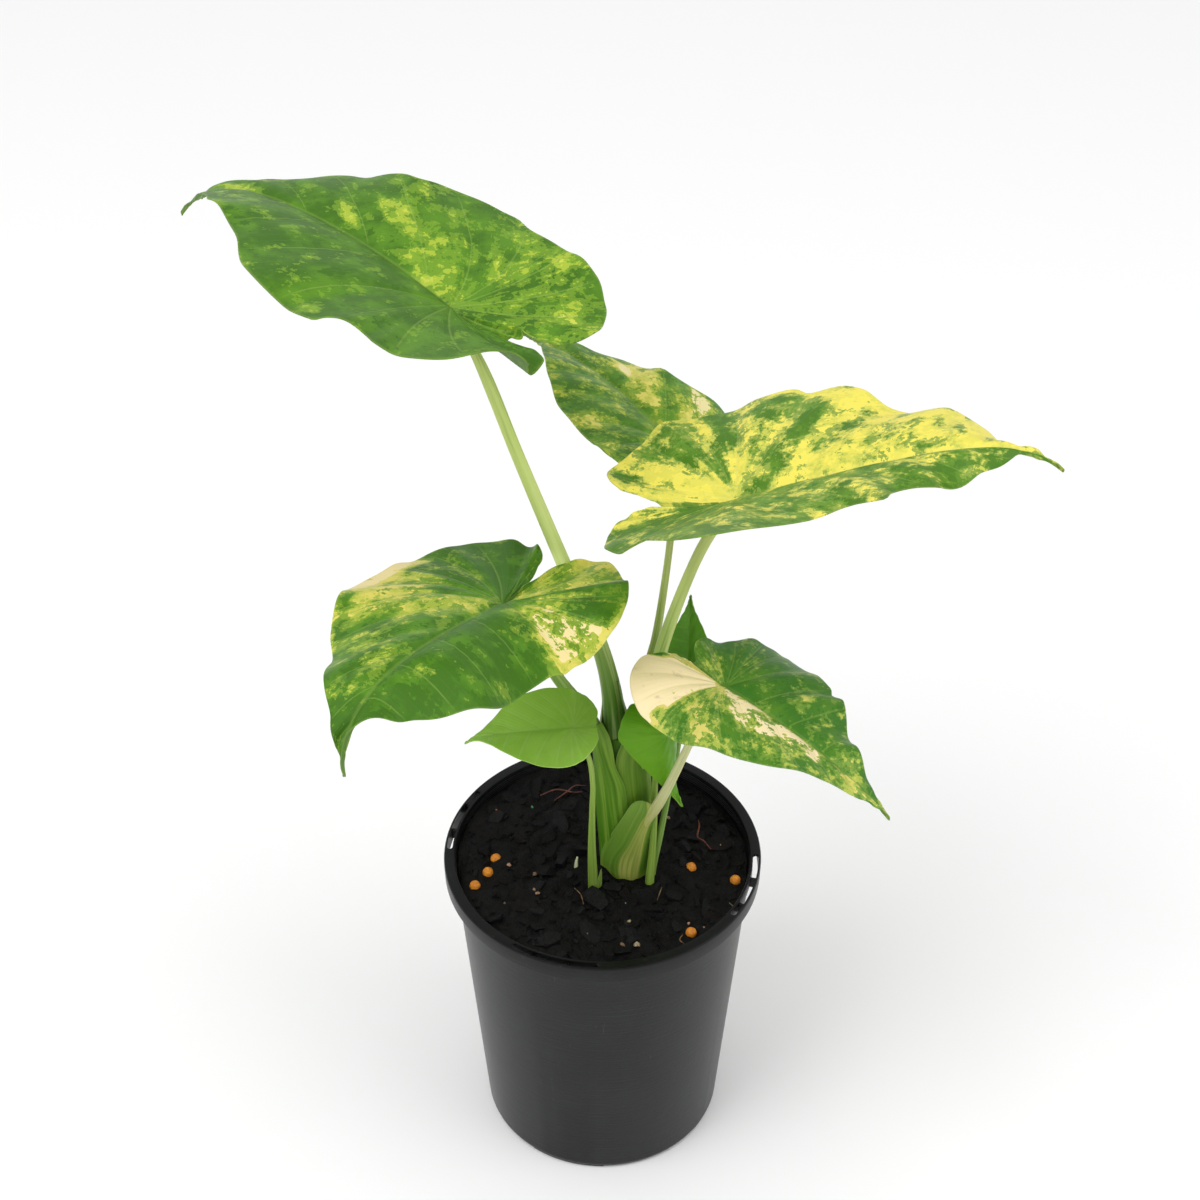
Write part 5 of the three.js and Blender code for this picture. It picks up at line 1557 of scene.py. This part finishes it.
    def front_sheath(self) -> None:
        """The sheath of leaf E's stalk: its free margin climbs across the front to a round flap.

        Each ring has the free margin, a point on the wing, the two sides of the rib and two points
        on the strip to the right of it.
        """
        self.sheath("sheath_front", [
            [(-0.5, -3, 142), (4.5, -8.2, 142), (8, -9.9, 142), (13.5, -10.2, 142), (18.7, -7.6, 142),
             (22, -3, 142)],
            [(-0.9, -3, 151), (3.2, -8, 150), (6.2, -9.9, 150), (13.8, -10.4, 150), (19.4, -7.6, 150),
             (22.2, -3, 150)],
            [(0.4, -3.6, 159), (4.2, -8.4, 158), (7.0, -9.9, 158), (14.9, -10.4, 158), (20.3, -7.4, 158),
             (22.3, -3, 158)],
            [(3.2, -5.6, 167.6), (7.6, -9.6, 166.5), (10.6, -10.6, 166), (16.2, -10.7, 166),
             (20.9, -7.2, 166), (22.6, -3, 166)],
            [(6.0, -8.2, 176), (10.2, -10.4, 175), (13.6, -11.2, 174), (17.8, -11, 174), (21.6, -7.7, 174),
             (22.8, -4, 174)],
            [(9.0, -9.7, 183.6), (12.8, -11.2, 183), (16.3, -11.8, 182), (20.2, -11.6, 182),
             (22.4, -9, 182), (23, -7, 182)],
            [(11.8, -10.2, 190.2), (15.2, -11.7, 190), (18.6, -12.9, 188.5), (21.6, -13.4, 188.2),
             (23.2, -11.8, 188), (23.6, -10.4, 188)],
            [(14.0, -10, 192.6), (16.3, -11.2, 194.2), (18.6, -12.4, 194.6), (20.6, -13.6, 194.3),
             (22, -14, 193.5), (23, -13.2, 193)],
        ], StalkSkin("sheath_front_skin", "648e2c", "74993c", "8fae4c", 0.4, margin=0.2, dark="4c7420",
                     rib=(0.42, 0.66)))

    def side_sheath(self) -> None:
        """The short sheath at the foot of leaf F's stalk."""
        foot = (270, 300, 330, 360, 385)
        self.sheath("sheath_side", [
            self.ring(-3.4, -14.8, 140, 3.3, 2.3, foot), self.ring(-3.4, -15.0, 147, 3.2, 2.3, foot),
            self.ring(-3.5, -15.4, 153, 3.3, 2.2, (300, 320, 340, 360, 375)),
            self.ring(-3.6, -15.8, 157.5, 3.3, 2.1, (335, 342, 350, 358, 365)),
        ], StalkSkin("sheath_side_skin", "7c9440", "7f9e46", "9cb562", 0.4, margin=0.3))


# The plant's leaves


MARBLED = Palette(deep="3f6c18", green="578722", light="7f9e34", lime="a6b642", yellow="ddd164",
                  cream="f1dda2", contrast=0.72)
BRIGHT = Palette(deep="4a761e", green="66902c", light="8fa345", lime="bdc252", yellow="e8dc5c",
                 cream="f2e2a0", contrast=1.15)
PLAIN = Palette(deep="4a7d1e", green="578c26", light="6d9c36", contrast=0.25, veins=0.15)
FRESH = Palette(deep="5c9614", green="69a31b", light="7bac2a", contrast=0.2, veins=0.08)
SMALL = {"base": 0.36, "stations": 110, "rows": 30, "puff": 0.25}
DARK, GREEN, LIGHT, LIME, GOLD, FLECKED, YELLOW, CREAM = Tone


def leaf_a() -> Leaf:
    """The large leaf at the upper left, green with lime islands."""
    return Leaf(
        "leaf_a", "leaf_green", attach=(-58.5, 33, 416.5), turn=(133.5, 9.5, 11.5), length=175,
        lobes=(61.5, 52.5), widths=(67.5, 66), notch=0.55, bend=25, tip_bend=47.5, fold=17,
        cup=-5.5, lobe_droop=-14, rib=2.0,
        stalk=Stalk(
            [(9, 2.5, 200), (5.8, 1.4, 219), (3.7, 2, 245.7), (-1.3, 4, 268.8), (-16.1, 9, 308.8),
             (-33, 16, 355), (-49.4, 23, 400.8)],
            (4.4, 5, 3.9, 3.4, 3, 2.8, 2.6, 2.4, 1.1), groove_side=0.9,
            groove=(0.35, 0.35, 0.3, 0.15, 0.05, 0, 0)),
        palette=Palette(contrast=0.58),
        stalk_skin=StalkSkin("stalk_a", "527f26", "cfdf84", "dbe6a2", 0.35, dark="4f7d2a",
                             turns_at=(0.12, 0.62)),
        lift=((-2, -3, -5, -3, 0, -5, -6, -5, 4, 0, 2, 8, 11, 0, 6, 5, 1),
              (-1, 0, -1, -5, -7, -3, -5, -1, 3, 2, -2, -2, 0, 0, 5, 4, 2)),
        reach=(
            (0.98, 0.98, 1, 1.04, 1.03, 1.02, 1.12, 1.12, 1,
             0.98, 1.04, 1.01, 0.98, 0.97, 1.01, 0.94, 1),
            (1.03, 1.01, 0.92, 1.02, 1.16, 1.1, 1.05, 0.9, 0.85,
             0.9, 0.94, 0.97, 0.96, 0.87, 0.72, 0.86, 0.87)),
        sweep=(-0.035, 0.055), base=0.37, stations=200, rows=46,
        ruffles=(
            [Ruffle(0.27, 0.014, 0.04, -1.5), Ruffle(0.434, 0.013, -0.04, -2),
             Ruffle(0.481, 0.021, 0.05, 0.5), Ruffle(0.557, 0.013, 0.06, 2.5),
             Ruffle(0.68, 0.014, 0.04, 1.5), Ruffle(0.736, 0.014, 0.08, -1)],
            [Ruffle(0.153, 0.016, 0.07, 0.5), Ruffle(0.185, 0.016, -0.04, -0.5),
             Ruffle(0.291, 0.01, -0.07, 0.5), Ruffle(0.335, 0.01, -0.09, 2),
             Ruffle(0.418, 0.01, 0.06, -1.5), Ruffle(0.844, 0.021, -0.05, 1)]),
        patches=(
            [Patch(LIGHT, (0.2, 0.3), (0.5, 0.9), 0.4), Patch(LIME, (0.44, 0.462), (0.85, 0.97), 0.7),
             # Painted shade: the DARK patch at the end of this list darkens the lobe, which is seen at a
             # grazing angle and lies in shade.
             Patch(LIME, (0.64, 0.66), (0.6, 0.8), 0.5), Patch(DARK, (0.7, 1.1), (0.1, 1.1), 0.7)],
            [Patch(LIGHT, (0.3, 0.95), (0, 1.1), 0.55), Patch(LIGHT, (0.56, 0.9), (0.15, 1.1), 0.6),
             Patch(GREEN, (0.36, 0.4), (0.3, 1.1), 0.7), Patch(LIME, (0.41, 0.53), (0.4, 0.64), 0.7),
             Patch(LIME, (0.47, 0.545), (0.78, 0.99), 0.95), Patch(LIME, (0.41, 0.44), (0.78, 0.92), 0.8),
             Patch(LIME, (0.66, 0.7), (0.68, 0.86), 0.9), Patch(LIME, (0.295, 0.33), (0, 0.13), 0.8),
             Patch(LIME, (0.318, 0.334), (0.18, 0.33), 0.8), Patch(LIGHT, (0.3, 0.345), (0, 0.5), 0.6),
             Patch(LIME, (0.303, 0.312), (0, 0.45), 0.6, 0.005),
             Patch(LIME, (0.284, 0.316), (0.34, 0.6), 1.0, 0.006),
             Patch(LIME, (0.238, 0.257), (0.1, 0.4), 0.95, 0.008),
             Patch(LIGHT, (0.15, 0.2), (0.6, 1.1), 0.5), Patch(LIME, (0.09, 0.15), (0, 0.5), 0.9),
             Patch(DARK, (0.56, 0.62), (0.9, 1.1), 0.6)]))


def leaf_b() -> Leaf:
    """The marbled leaf at the left, hanging towards the front."""
    return Leaf(
        "leaf_b", "leaf_marbled", attach=(-39.5, -32, 321.5), turn=(240, 22, 9.5), length=131.5,
        lobes=(52.5, 53.5), widths=(54, 56.5), notch=0.1, bend=13.5, tip_bend=102.5, fold=13,
        cup=-14.5, lobe_droop=-2.5, rib=1.8,
        stalk=Stalk(
            [(2.4, -3.6, 197), (0.2, -4.9, 212), (-1.4, -5.7, 222), (-3.2, -6.5, 234), (-17.6, -9, 260.5),
             (-30, -19, 295)],
            (1.2, 1.8, 2.4, 2.7, 2.5, 2.3, 2.1, 1)),
        palette=MARBLED, stalk_skin=StalkSkin("stalk_b", "5f8c30", "98b556", "aec776", 0.4),
        lift=((4, 7, -3, -14, -16, -22, -18, -15, -4, 2, 6, 3, 4, 4, 6, 5, 3),
              (-1, 3, 0, -2, -8, -6, 4, 3, 6, 5, 6, 6, 7, 6, 6, 2, 0)),
        reach=(
            (0.93, 0.9, 0.96, 1.02, 1, 0.85, 0.78, 0.81, 0.86,
             0.88, 0.89, 0.91, 0.97, 1.02, 1.03, 1.04, 1.02),
            (1.04, 1.07, 1.12, 1.11, 1, 1.05, 1.06, 1.03, 0.99,
             0.98, 0.99, 0.99, 0.97, 0.96, 0.94, 0.93, 0.95)),
        base=0.38, stations=190, rows=46,
        ruffles=(
            [Ruffle(0.089, 0.023, 0.02, -1.5), Ruffle(0.156, 0.02, 0, 1.5), Ruffle(0.19, 0.015, -0.02, -2),
             Ruffle(0.297, 0.031, 0.1, 1.5), Ruffle(0.408, 0.013, 0.02, -1.5)],
            [Ruffle(0.432, 0.026, 0.06, 0), Ruffle(0.616, 0.022, -0.05, 1.5),
             Ruffle(0.749, 0.018, 0.01, -1.5), Ruffle(0.791, 0.019, -0.08, 3.5)]),
        patches=(
            [Patch(DARK, (-0.05, 0.38), (-0.1, 1.1), 0.55), Patch(LIME, (0.32, 0.345), (0.78, 0.95), 0.6),
             Patch(LIGHT, (0.25, 0.28), (0.2, 0.6), 0.5), Patch(LIME, (0.395, 0.5), (0.25, 1.1), 0.95),
             Patch(LIME, (0.41, 0.5), (0.5, 0.98), 0.8),
             Patch(FLECKED, (0.41, 0.5), (0.42, 0.97), 0.95, 0.02), Patch(GREEN, (0.5, 0.61), (0.62, 0.97)),
             Patch(LIME, (0.5, 0.61), (0.25, 0.6), 0.9), Patch(LIME, (0.63, 0.9), (0.1, 1.1), 0.85),
             Patch(YELLOW, (0.7, 0.82), (0.85, 1.1), 0.8), Patch(YELLOW, (0.38, 0.55), (0.98, 1.1))],
            [Patch(LIME, (0.33, 0.48), (0.45, 0.9), 0.95), Patch(LIME, (0.295, 0.36), (0.05, 0.55), 0.95),
             Patch(YELLOW, (0.36, 0.41), (0.62, 0.86), 0.6), Patch(LIGHT, (0.24, 0.31), (0.55, 1.1), 0.9),
             Patch(LIME, (0.15, 0.21), (0.1, 0.55), 0.6), Patch(LIGHT, (0.21, 0.26), (0.2, 0.6), 0.5),
             Patch(CREAM, (0.4, 0.56), (0.83, 1.1), 0.95, 0.02),
             Patch(GREEN, (0.485, 0.85), (0, 0.85), 0.9), Patch(LIGHT, (0.5, 0.6), (0.35, 0.75), 0.6),
             Patch(LIGHT, (0.78, 0.86), (0.4, 0.9), 0.7), Patch(YELLOW, (0.3, 0.42), (0.985, 1.1)),
             Patch(DARK, (0.6, 0.85), (0.1, 0.95), 0.4)]))


def leaf_c() -> Leaf:
    """The leaf behind the stem, seen from its upper side."""
    return Leaf(
        "leaf_c", "leaf_green", attach=(32, 66, 324), turn=(119.5, 7, 21), length=125,
        lobes=(45, 45), widths=(47.5, 47.5), notch=0.35, bend=25.5, tip_bend=-3, fold=16.5,
        cup=-12, lobe_droop=17, rib=1.6,
        stalk=Stalk(
            [(14, 6, 204), (17.5, 6.5, 235), (19.8, 7, 258), (22.2, 11, 267.5), (27.9, 28, 305)],
            (2.2, 2.2, 2, 1.7, 1.5, 1.5, 0.9)),
        palette=Palette(deep="44721a", green="5f8f24", light="82a030", lime="a8b63c", yellow="ddd468",
                        cream="ecdfa2", contrast=0.85),
        stalk_skin=StalkSkin("stalk_c", "8aa24e", "a9b56a", "b9bf80", 0.4, rust=0.15),
        lift=((-1, -1, -1, 0, 0, -2, -4, -2, 1, 2, 2, 1, 0, 0, 0, 0, 0),
              (2, 3, 1, -2, -3, 0, -1, -3, -2, -1, 0, 0, 0, 0, 0, 0, 0)),
        reach=((1, 0.99, 0.98, 0.98, 1.01, 1.03, 1.03, 1, 0.97, 0.97, 0.97, 0.99, 1, 1, 1, 1, 1),
               (1, 1, 0.99, 0.99, 0.99, 0.92, 0.97, 0.98, 0.99, 1, 1, 1, 1, 1, 1, 1, 1)),
        base=0.45, stations=160, rows=42,
        ruffles=(
            [],
            [Ruffle(0.314, 0.013, -0.02, 2), Ruffle(0.415, 0.021, -0.01, -1.5)]),
        patches=(
            [Patch(LIME, (0.4, 0.45), (0.7, 1.1), 0.8), Patch(LIME, (0.48, 0.53), (0.75, 0.95), 0.9)],
            [Patch(LIME, (0.26, 0.31), (0.1, 1.1), 0.9), Patch(YELLOW, (0.27, 0.31), (0.2, 0.9), 0.5),
             Patch(YELLOW, (0.33, 0.36), (0.15, 0.6), 0.8), Patch(FLECKED, (0.35, 0.385), (0.5, 0.97)),
             Patch(CREAM, (0.235, 0.27), (0.4, 0.75), 0.9), Patch(GREEN, (0.31, 0.335), (0, 1.1), 0.8)]))


def leaf_d() -> Leaf:
    """The yellow leaf at the upper right."""
    return Leaf(
        "leaf_d", "leaf_yellow", attach=(51.5, -10, 356), turn=(-11, 26, -4.5), length=132.5,
        lobes=(54.5, 53), widths=(55.5, 57.5), notch=0.55, bend=6, tip_bend=62.5, fold=21.5,
        cup=-10.5, lobe_droop=-37, rib=1.8,
        stalk=Stalk(
            [(15, -2, 204), (19.5, -1, 238), (22.6, 0, 260), (25.5, 0.5, 275), (41.2, -4, 330.4)],
            (3.2, 3.2, 3.1, 2.8, 2.5, 2.3, 2.2, 1)),
        palette=BRIGHT, stalk_skin=StalkSkin("stalk_d", "8aac44", "c3d27c", "cdd68e", 0.4, rust=0.25),
        lift=((-1, -1, -11, -13, -13, -15, -8, -1, -4, -2, -1, -4, -5, -2, 0, 2, 1),
              (-1, -1, -7, -12, -5, -5, 1, 14, 16, 9, -2, -8, -12, -9, -6, -2, 0)),
        reach=(
            (0.96, 1.03, 1.22, 1.29, 1.28, 1.15, 1.25, 1.11, 1.11,
             1.03, 1.04, 0.96, 0.96, 1, 0.97, 0.97, 0.96),
            (0.91, 0.83, 0.83, 0.94, 1.06, 0.95, 1.05, 1.21, 1.14,
             1.04, 0.98, 0.99, 0.93, 0.92, 0.92, 0.93, 0.96)),
        base=0.6, stations=200, rows=46,
        ruffles=(
            [Ruffle(0.303, 0.022, 0.09, -1.5), Ruffle(0.333, 0.01, 0.05, -2),
             Ruffle(0.422, 0.014, -0.18, 1), Ruffle(0.429, 0.029, 0.18, -3),
             Ruffle(0.747, 0.022, 0.02, -2.5)],
            [Ruffle(0.131, 0.013, -0.08, 1.5), Ruffle(0.194, 0.015, 0.02, 1.5),
             Ruffle(0.253, 0.013, 0.14, 1.5), Ruffle(0.301, 0.038, -0.13, -0.5),
             Ruffle(0.309, 0.015, 0.37, 5), Ruffle(0.441, 0.025, 0.22, 8)]),
        patches=(
            [Patch(YELLOW, (-0.1, 1.1), (-0.1, 1.1), 0.95), Patch(LIME, (0.405, 0.47), (0.03, 0.85)),
             Patch(GREEN, (0.5, 0.56), (0.45, 1.1)), Patch(GREEN, (0.55, 0.62), (0.15, 0.6), 0.9),
             Patch(LIME, (0.47, 0.5), (0.3, 1.1), 0.9), Patch(GREEN, (0.575, 0.69), (0.45, 0.97), 0.85),
             Patch(GREEN, (0.385, 0.405), (-0.1, 0.48)), Patch(GREEN, (0.385, 0.42), (0.4, 0.74)),
             Patch(GREEN, (0.405, 0.465), (0.68, 0.94)), Patch(GREEN, (0.345, 0.372), (0.3, 0.9), 0.62),
             Patch(GREEN, (0.29, 0.312), (0.05, 0.66), 0.7),
             Patch(GREEN, (0.235, 0.278), (0.1, 0.36), 0.65), Patch(GREEN, (0.26, 0.28), (0.7, 0.86), 0.6),
             Patch(GREEN, (0.18, 0.2), (0.3, 0.8), 0.55), Patch(YELLOW, (0.355, 0.42), (0.9, 1.1)),
             Patch(GREEN, (0.74, 0.8), (0.7, 1.0), 0.9), Patch(GREEN, (0.93, 1.1), (0.2, 1.1), 0.7),
             Patch(LIGHT, (-0.2, 0.05), (-0.1, 1.1)), Patch(LIME, (0.05, 0.2), (-0.1, 0.3), 0.5),
             Patch(LIME, (0.31, 0.36), (0.0, 0.7), 0.45)],
            [Patch(GREEN, (-0.1, 1.1), (-0.1, 1.1), 0.85), Patch(LIME, (0.15, 0.22), (-0.1, 0.62), 0.7),
             Patch(GREEN, (0.1, 0.28), (0.62, 1.1), 0.95), Patch(GREEN, (0.24, 0.265), (-0.1, 0.85), 0.85),
             Patch(LIME, (0.27, 0.33), (0.3, 0.9), 0.5), Patch(GREEN, (0.335, 0.38), (-0.1, 0.5), 0.7),
             Patch(GREEN, (-0.1, 0.1), (-0.1, 1.1), 0.8), Patch(LIME, (0.37, 0.43), (0.35, 0.8), 0.6),
             Patch(GREEN, (0.45, 0.7), (0.45, 1.1), 0.7), Patch(GOLD, (0.75, 1.1), (0.45, 1.1), 0.8),
             Patch(GREEN, (0.78, 0.93), (0.3, 0.65), 0.8)]))


def leaf_e() -> Leaf:
    """The leaf at the right with one cream half."""
    return Leaf(
        "leaf_e", "leaf_marbled", attach=(49, -38, 283.5), turn=(-42.5, -1.5, -9.5), length=87.5,
        lobes=(22.5, 27), widths=(41.5, 43), notch=0.75, bend=15, tip_bend=13.5, fold=17.5,
        cup=-20.5, lobe_droop=-13.5, rib=1.3,
        stalk=Stalk(
            [(16.4, -7.6, 168), (18.9, -9.9, 181), (22.3, -13.2, 191), (26.9, -18.9, 207.8),
             (31.4, -24, 225.8), (35.9, -28.3, 243.5), (41.6, -33, 262.6)],
            (1.2, 2.2, 2.4, 2.1, 1.9, 1.7, 1.6, 1.5, 0.8), rings=100),
        palette=Palette(deep="3f7426", green="55842c", light="7f9e42", lime="abb950", yellow="dccf72",
                        cream="ffe9bd", contrast=0.85, bloom=0.5),
        stalk_skin=StalkSkin("stalk_e", "b3b85c", "cdcf98", "d6d3a0", 0.35, dark="9aa65c",
                             turns_at=(0.05, 0.4)),
        lift=((0, -1, -2, 0, -6, -3, 0, -4, -4, -3, -1, -3, -2, 2, 3, 2, 1),
              (0, -1, -2, 0, 3, -1, -1, -4, -1, 0, 2, 1, -1, -1, -1, -1, 0)),
        reach=(
            (1, 0.95, 0.83, 0.83, 0.92, 1.05, 1, 1.09, 1.07,
             1.03, 0.99, 0.95, 0.94, 1.01, 1.03, 0.95, 0.89),
            (1, 0.98, 0.94, 0.95, 1.05, 0.98, 0.95, 0.91, 0.94,
             0.98, 1.05, 1.1, 1.09, 1.04, 1.01, 1, 1)),
        base=0.44, stations=180, rows=44,
        ruffles=(
            [Ruffle(0.133, 0.027, 0.06, 0), Ruffle(0.239, 0.016, -0.01, 1),
             Ruffle(0.305, 0.014, -0.02, 2.5), Ruffle(0.326, 0.024, -0.06, 4.5),
             Ruffle(0.354, 0.011, -0.06, -1), Ruffle(0.698, 0.025, 0.01, -1)],
            [Ruffle(0.213, 0.022, 0.03, 0.5), Ruffle(0.429, 0.029, 0.03, 0.5)]),
        patches=(
            [Patch(GREEN, (-0.1, 1.1), (-0.1, 1.1), 0.8),
             Patch(LIGHT, (0.16, 0.25), (0.03, 0.62), 1.0, 0.008),
             Patch(LIME, (0.33, 0.35), (0.3, 0.85), 0.6), Patch(LIGHT, (0.75, 0.95), (0.1, 0.7), 0.7),
             Patch(LIGHT, (0.5, 0.6), (0.25, 0.6), 0.6), Patch(LIME, (0, 0.1), (0, 1.1), 0.9)],
            [Patch(LIGHT, (-0.1, 0.5), (-0.1, 1.1), 0.95), Patch(LIME, (0.36, 0.5), (0.0, 1.1), 0.8),
             Patch(FLECKED, (0.16, 0.35), (0.04, 0.6), 0.9, 0.04),
             Patch(YELLOW, (0.05, 0.16), (0.1, 0.8), 0.55), Patch(GREEN, (0.3, 0.38), (0.6, 1.1), 0.7),
             Patch(GREEN, (0.2, 0.26), (0.7, 1.1), 0.5), Patch(GREEN, (0.44, 0.5), (0.7, 0.95), 0.6),
             Patch(CREAM, (0.5, 0.78), (0.1, 1.1)), Patch(CREAM, (0.78, 0.93), (0.2, 1.1), 0.75),
             Patch(CREAM, (0.92, 1.0), (0.1, 1.1)), Patch(GREEN, (0.755, 0.79), (0.88, 1.1)),
             Patch(GREEN, (0.5, 0.53), (0.8, 0.95), 0.85)]))


def leaf_f() -> Leaf:
    """The small light green leaf at the lower left, its palette lightened further as painted light."""
    return Leaf(
        "leaf_f", "leaf_young", attach=(-12.5, -40, 263.5), turn=(179.5, -7, -1.5), length=45,
        lobes=(11, 10.5), widths=(25, 20), notch=0.9, bend=1, tip_bend=36.5, fold=17,
        cup=-12.5, lobe_droop=12.5, rib=0.9,
        stalk=Stalk(
            [(-4.1, -14.8, 127), (-4.1, -15.2, 145.5), (-4.6, -19, 174.7), (-4.3, -25, 204.4),
             (-4.1, -29.5, 221.5), (-5.8, -34, 241)],
            (2.2, 2.2, 1.75, 1.35, 1.15, 1.1, 0.7)),
        # Partly painted light: a young light green, raised further to stand in for light through the blade
        # and to lift the shadow that leaf B casts on it.
        palette=Palette(deep="96c74c", green="a2d158", light="aeda66", vein="c4dc94", contrast=0.2,
                        veins=0.3),
        stalk_skin=StalkSkin("stalk_f", "7e9e3c", "90ae4e", "a8bf66", 0.3),
        lift=((0, 0, -2, -2, 1, 1, 0, 1, 0), (0, 0, 4, 3, -2, -3, -2, 0, 0)), **SMALL)


def leaf_g() -> Leaf:
    """The small leaf in front of the stem, hanging steeply."""
    return Leaf(
        "leaf_g", "leaf_young", attach=(28.2, -13.5, 234.7), turn=(340.5, -81.5, 13), length=40.5,
        lobes=(13, 15), widths=(16.5, 14.5), notch=0.2, bend=16.5, tip_bend=-62.5, fold=-7,
        cup=-26.5, lobe_droop=43, rib=0.8,
        stalk=Stalk(
            [(20.7, -12.3, 127), (20.7, -12.3, 145.5), (21.8, -9.2, 162.6), (22.4, -6.4, 182),
             (22.4, -5.4, 193), (22.8, -7.5, 212), (24.8, -10.5, 226)],
            (2, 2, 1.6, 1.4, 1.3, 1.2, 0.7)),
        palette=FRESH, stalk_skin=StalkSkin("stalk_g", "7e9e3c", "90ae4e", "a8bf66", 0.3),
        lift=((1, -0.5, -0.5, 1.5, 0, 0, 2, 0, 0), (0.5, -0.5, -4, -3.5, -6.5, -3, -1.5, -2.5, 0.5)),
        reach=((1.05, 0.99, 1.03, 1.01, 0.99, 0.94, 0.89, 0.94, 1),
               (0.95, 0.9, 0.9, 1.07, 1.17, 1.25, 1.25, 1.22, 1.04)), **SMALL)


def leaf_h() -> Leaf:
    """The small dark leaf at the back."""
    return Leaf(
        "leaf_h", "leaf_young", attach=(36, 17, 241), turn=(86, 60, 0), length=34,
        lobes=(11, 11), widths=(12.5, 12.5), notch=0.4, bend=4, tip_bend=12, fold=24,
        cup=-10, lobe_droop=10, rib=0.8,
        stalk=Stalk(
            [(21.6, -7.2, 127), (21.6, -7.3, 145.5), (25, -5.8, 168), (27.9, -1.5, 184.6),
             (31.8, 5, 205)],
            (1.8, 1.8, 1.5, 1.3, 1.2, 1.1, 0.7)),
        palette=PLAIN, stalk_skin=StalkSkin("stalk_h", "7a9c48", "7f9e4c", "a3bd72", 0.3), **SMALL)


# The studio


@dataclass
class Studio:
    """A pale floor, a soft bright surround, large lamps and the camera."""

    eye: Triple = (-1.1, -816.2, 967.4)
    downward: float = 39.43
    lens: float = 78.0
    horizon: float = 0.85
    middle: float = 0.5
    zenith: float = 1.5

    def make(self) -> None:
        """Sets up the stage."""
        self.make_camera()
        self.make_surround()
        self.make_floor()
        self.lamp("key", (-0.9, -0.7, 1.7), (0, 0, 0.25), size=1.2, power=15)
        self.lamp("fill", (1.3, -0.6, 1.2), (0, 0, 0.2), size=1.4, power=7)
        bpy.context.scene.view_settings.view_transform = "Standard"

    def make_camera(self) -> None:
        """Puts the camera at the photograph's viewing angle."""
        data = bpy.data.cameras.new("camera")
        data.lens = self.lens
        data.sensor_width = 36.0
        data.clip_end = 20.0
        camera = bpy.data.objects.new("camera", data)
        camera.location = Vector(self.eye) * MM
        camera.rotation_euler = (math.radians(90 - self.downward), 0, 0)
        bpy.context.collection.objects.link(camera)
        bpy.context.scene.camera = camera

    def make_surround(self) -> None:
        """Lights the scene from all round: bright low down and overhead, softer between."""
        world = bpy.data.worlds.new("studio")
        world.use_nodes = True
        tree = world.node_tree
        aim = tree.nodes.new("ShaderNodeTexCoord")
        parts = tree.nodes.new("ShaderNodeSeparateXYZ")
        ramp = tree.nodes.new("ShaderNodeValToRGB")
        tree.links.new(aim.outputs["Generated"], parts.inputs[0])
        tree.links.new(parts.outputs[2], ramp.inputs[0])
        while len(ramp.color_ramp.elements) < 4:
            ramp.color_ramp.elements.new(1.0)
        levels = ((0.0, self.horizon), (0.3, self.middle), (0.68, self.middle), (0.95, self.zenith))
        for stop, (place, level) in zip(ramp.color_ramp.elements, levels):
            stop.position = place
            stop.color = (level, level, level, 1.0)
        background = tree.nodes["Background"]
        tree.links.new(ramp.outputs[0], background.inputs[0])
        bpy.context.scene.world = world

    def make_floor(self) -> None:
        """Lays the plain floor."""
        Bench.clear()
        bpy.ops.mesh.primitive_plane_add(size=12)
        floor = bpy.context.object
        floor.name = "floor"
        recipe = Recipe("floor")
        Bench.dress(floor, recipe.finish(base_color=(0.93, 0.93, 0.93, 1.0), roughness=0.9))

    @staticmethod
    def lamp(name: str, place: Triple, target: Triple, size: float, power: float) -> None:
        """Hangs a large soft lamp that points at a target."""
        data = bpy.data.lights.new(name, "AREA")
        data.shape = "DISK"
        data.size = size
        data.energy = power
        lamp = bpy.data.objects.new(name, data)
        lamp.location = place
        lamp.rotation_euler = (Vector(target) - Vector(place)).to_track_quat("-Z", "Y").to_euler()
        bpy.context.collection.objects.link(lamp)


def main() -> None:
    """Builds the stage, then the pot, the mix, what lies on it, the stem and the leaves."""
    logging.basicConfig(level=logging.INFO, format="%(message)s")
    Studio().make()
    NurseryPot().make()
    mix = GrowingMix()
    mix.make()
    Litter(mix).make()
    Pseudostem().make()
    for leaf in (leaf_a, leaf_b, leaf_c, leaf_d, leaf_e, leaf_f, leaf_g, leaf_h):
        leaf().make()


if __name__ == "__main__":
    main()
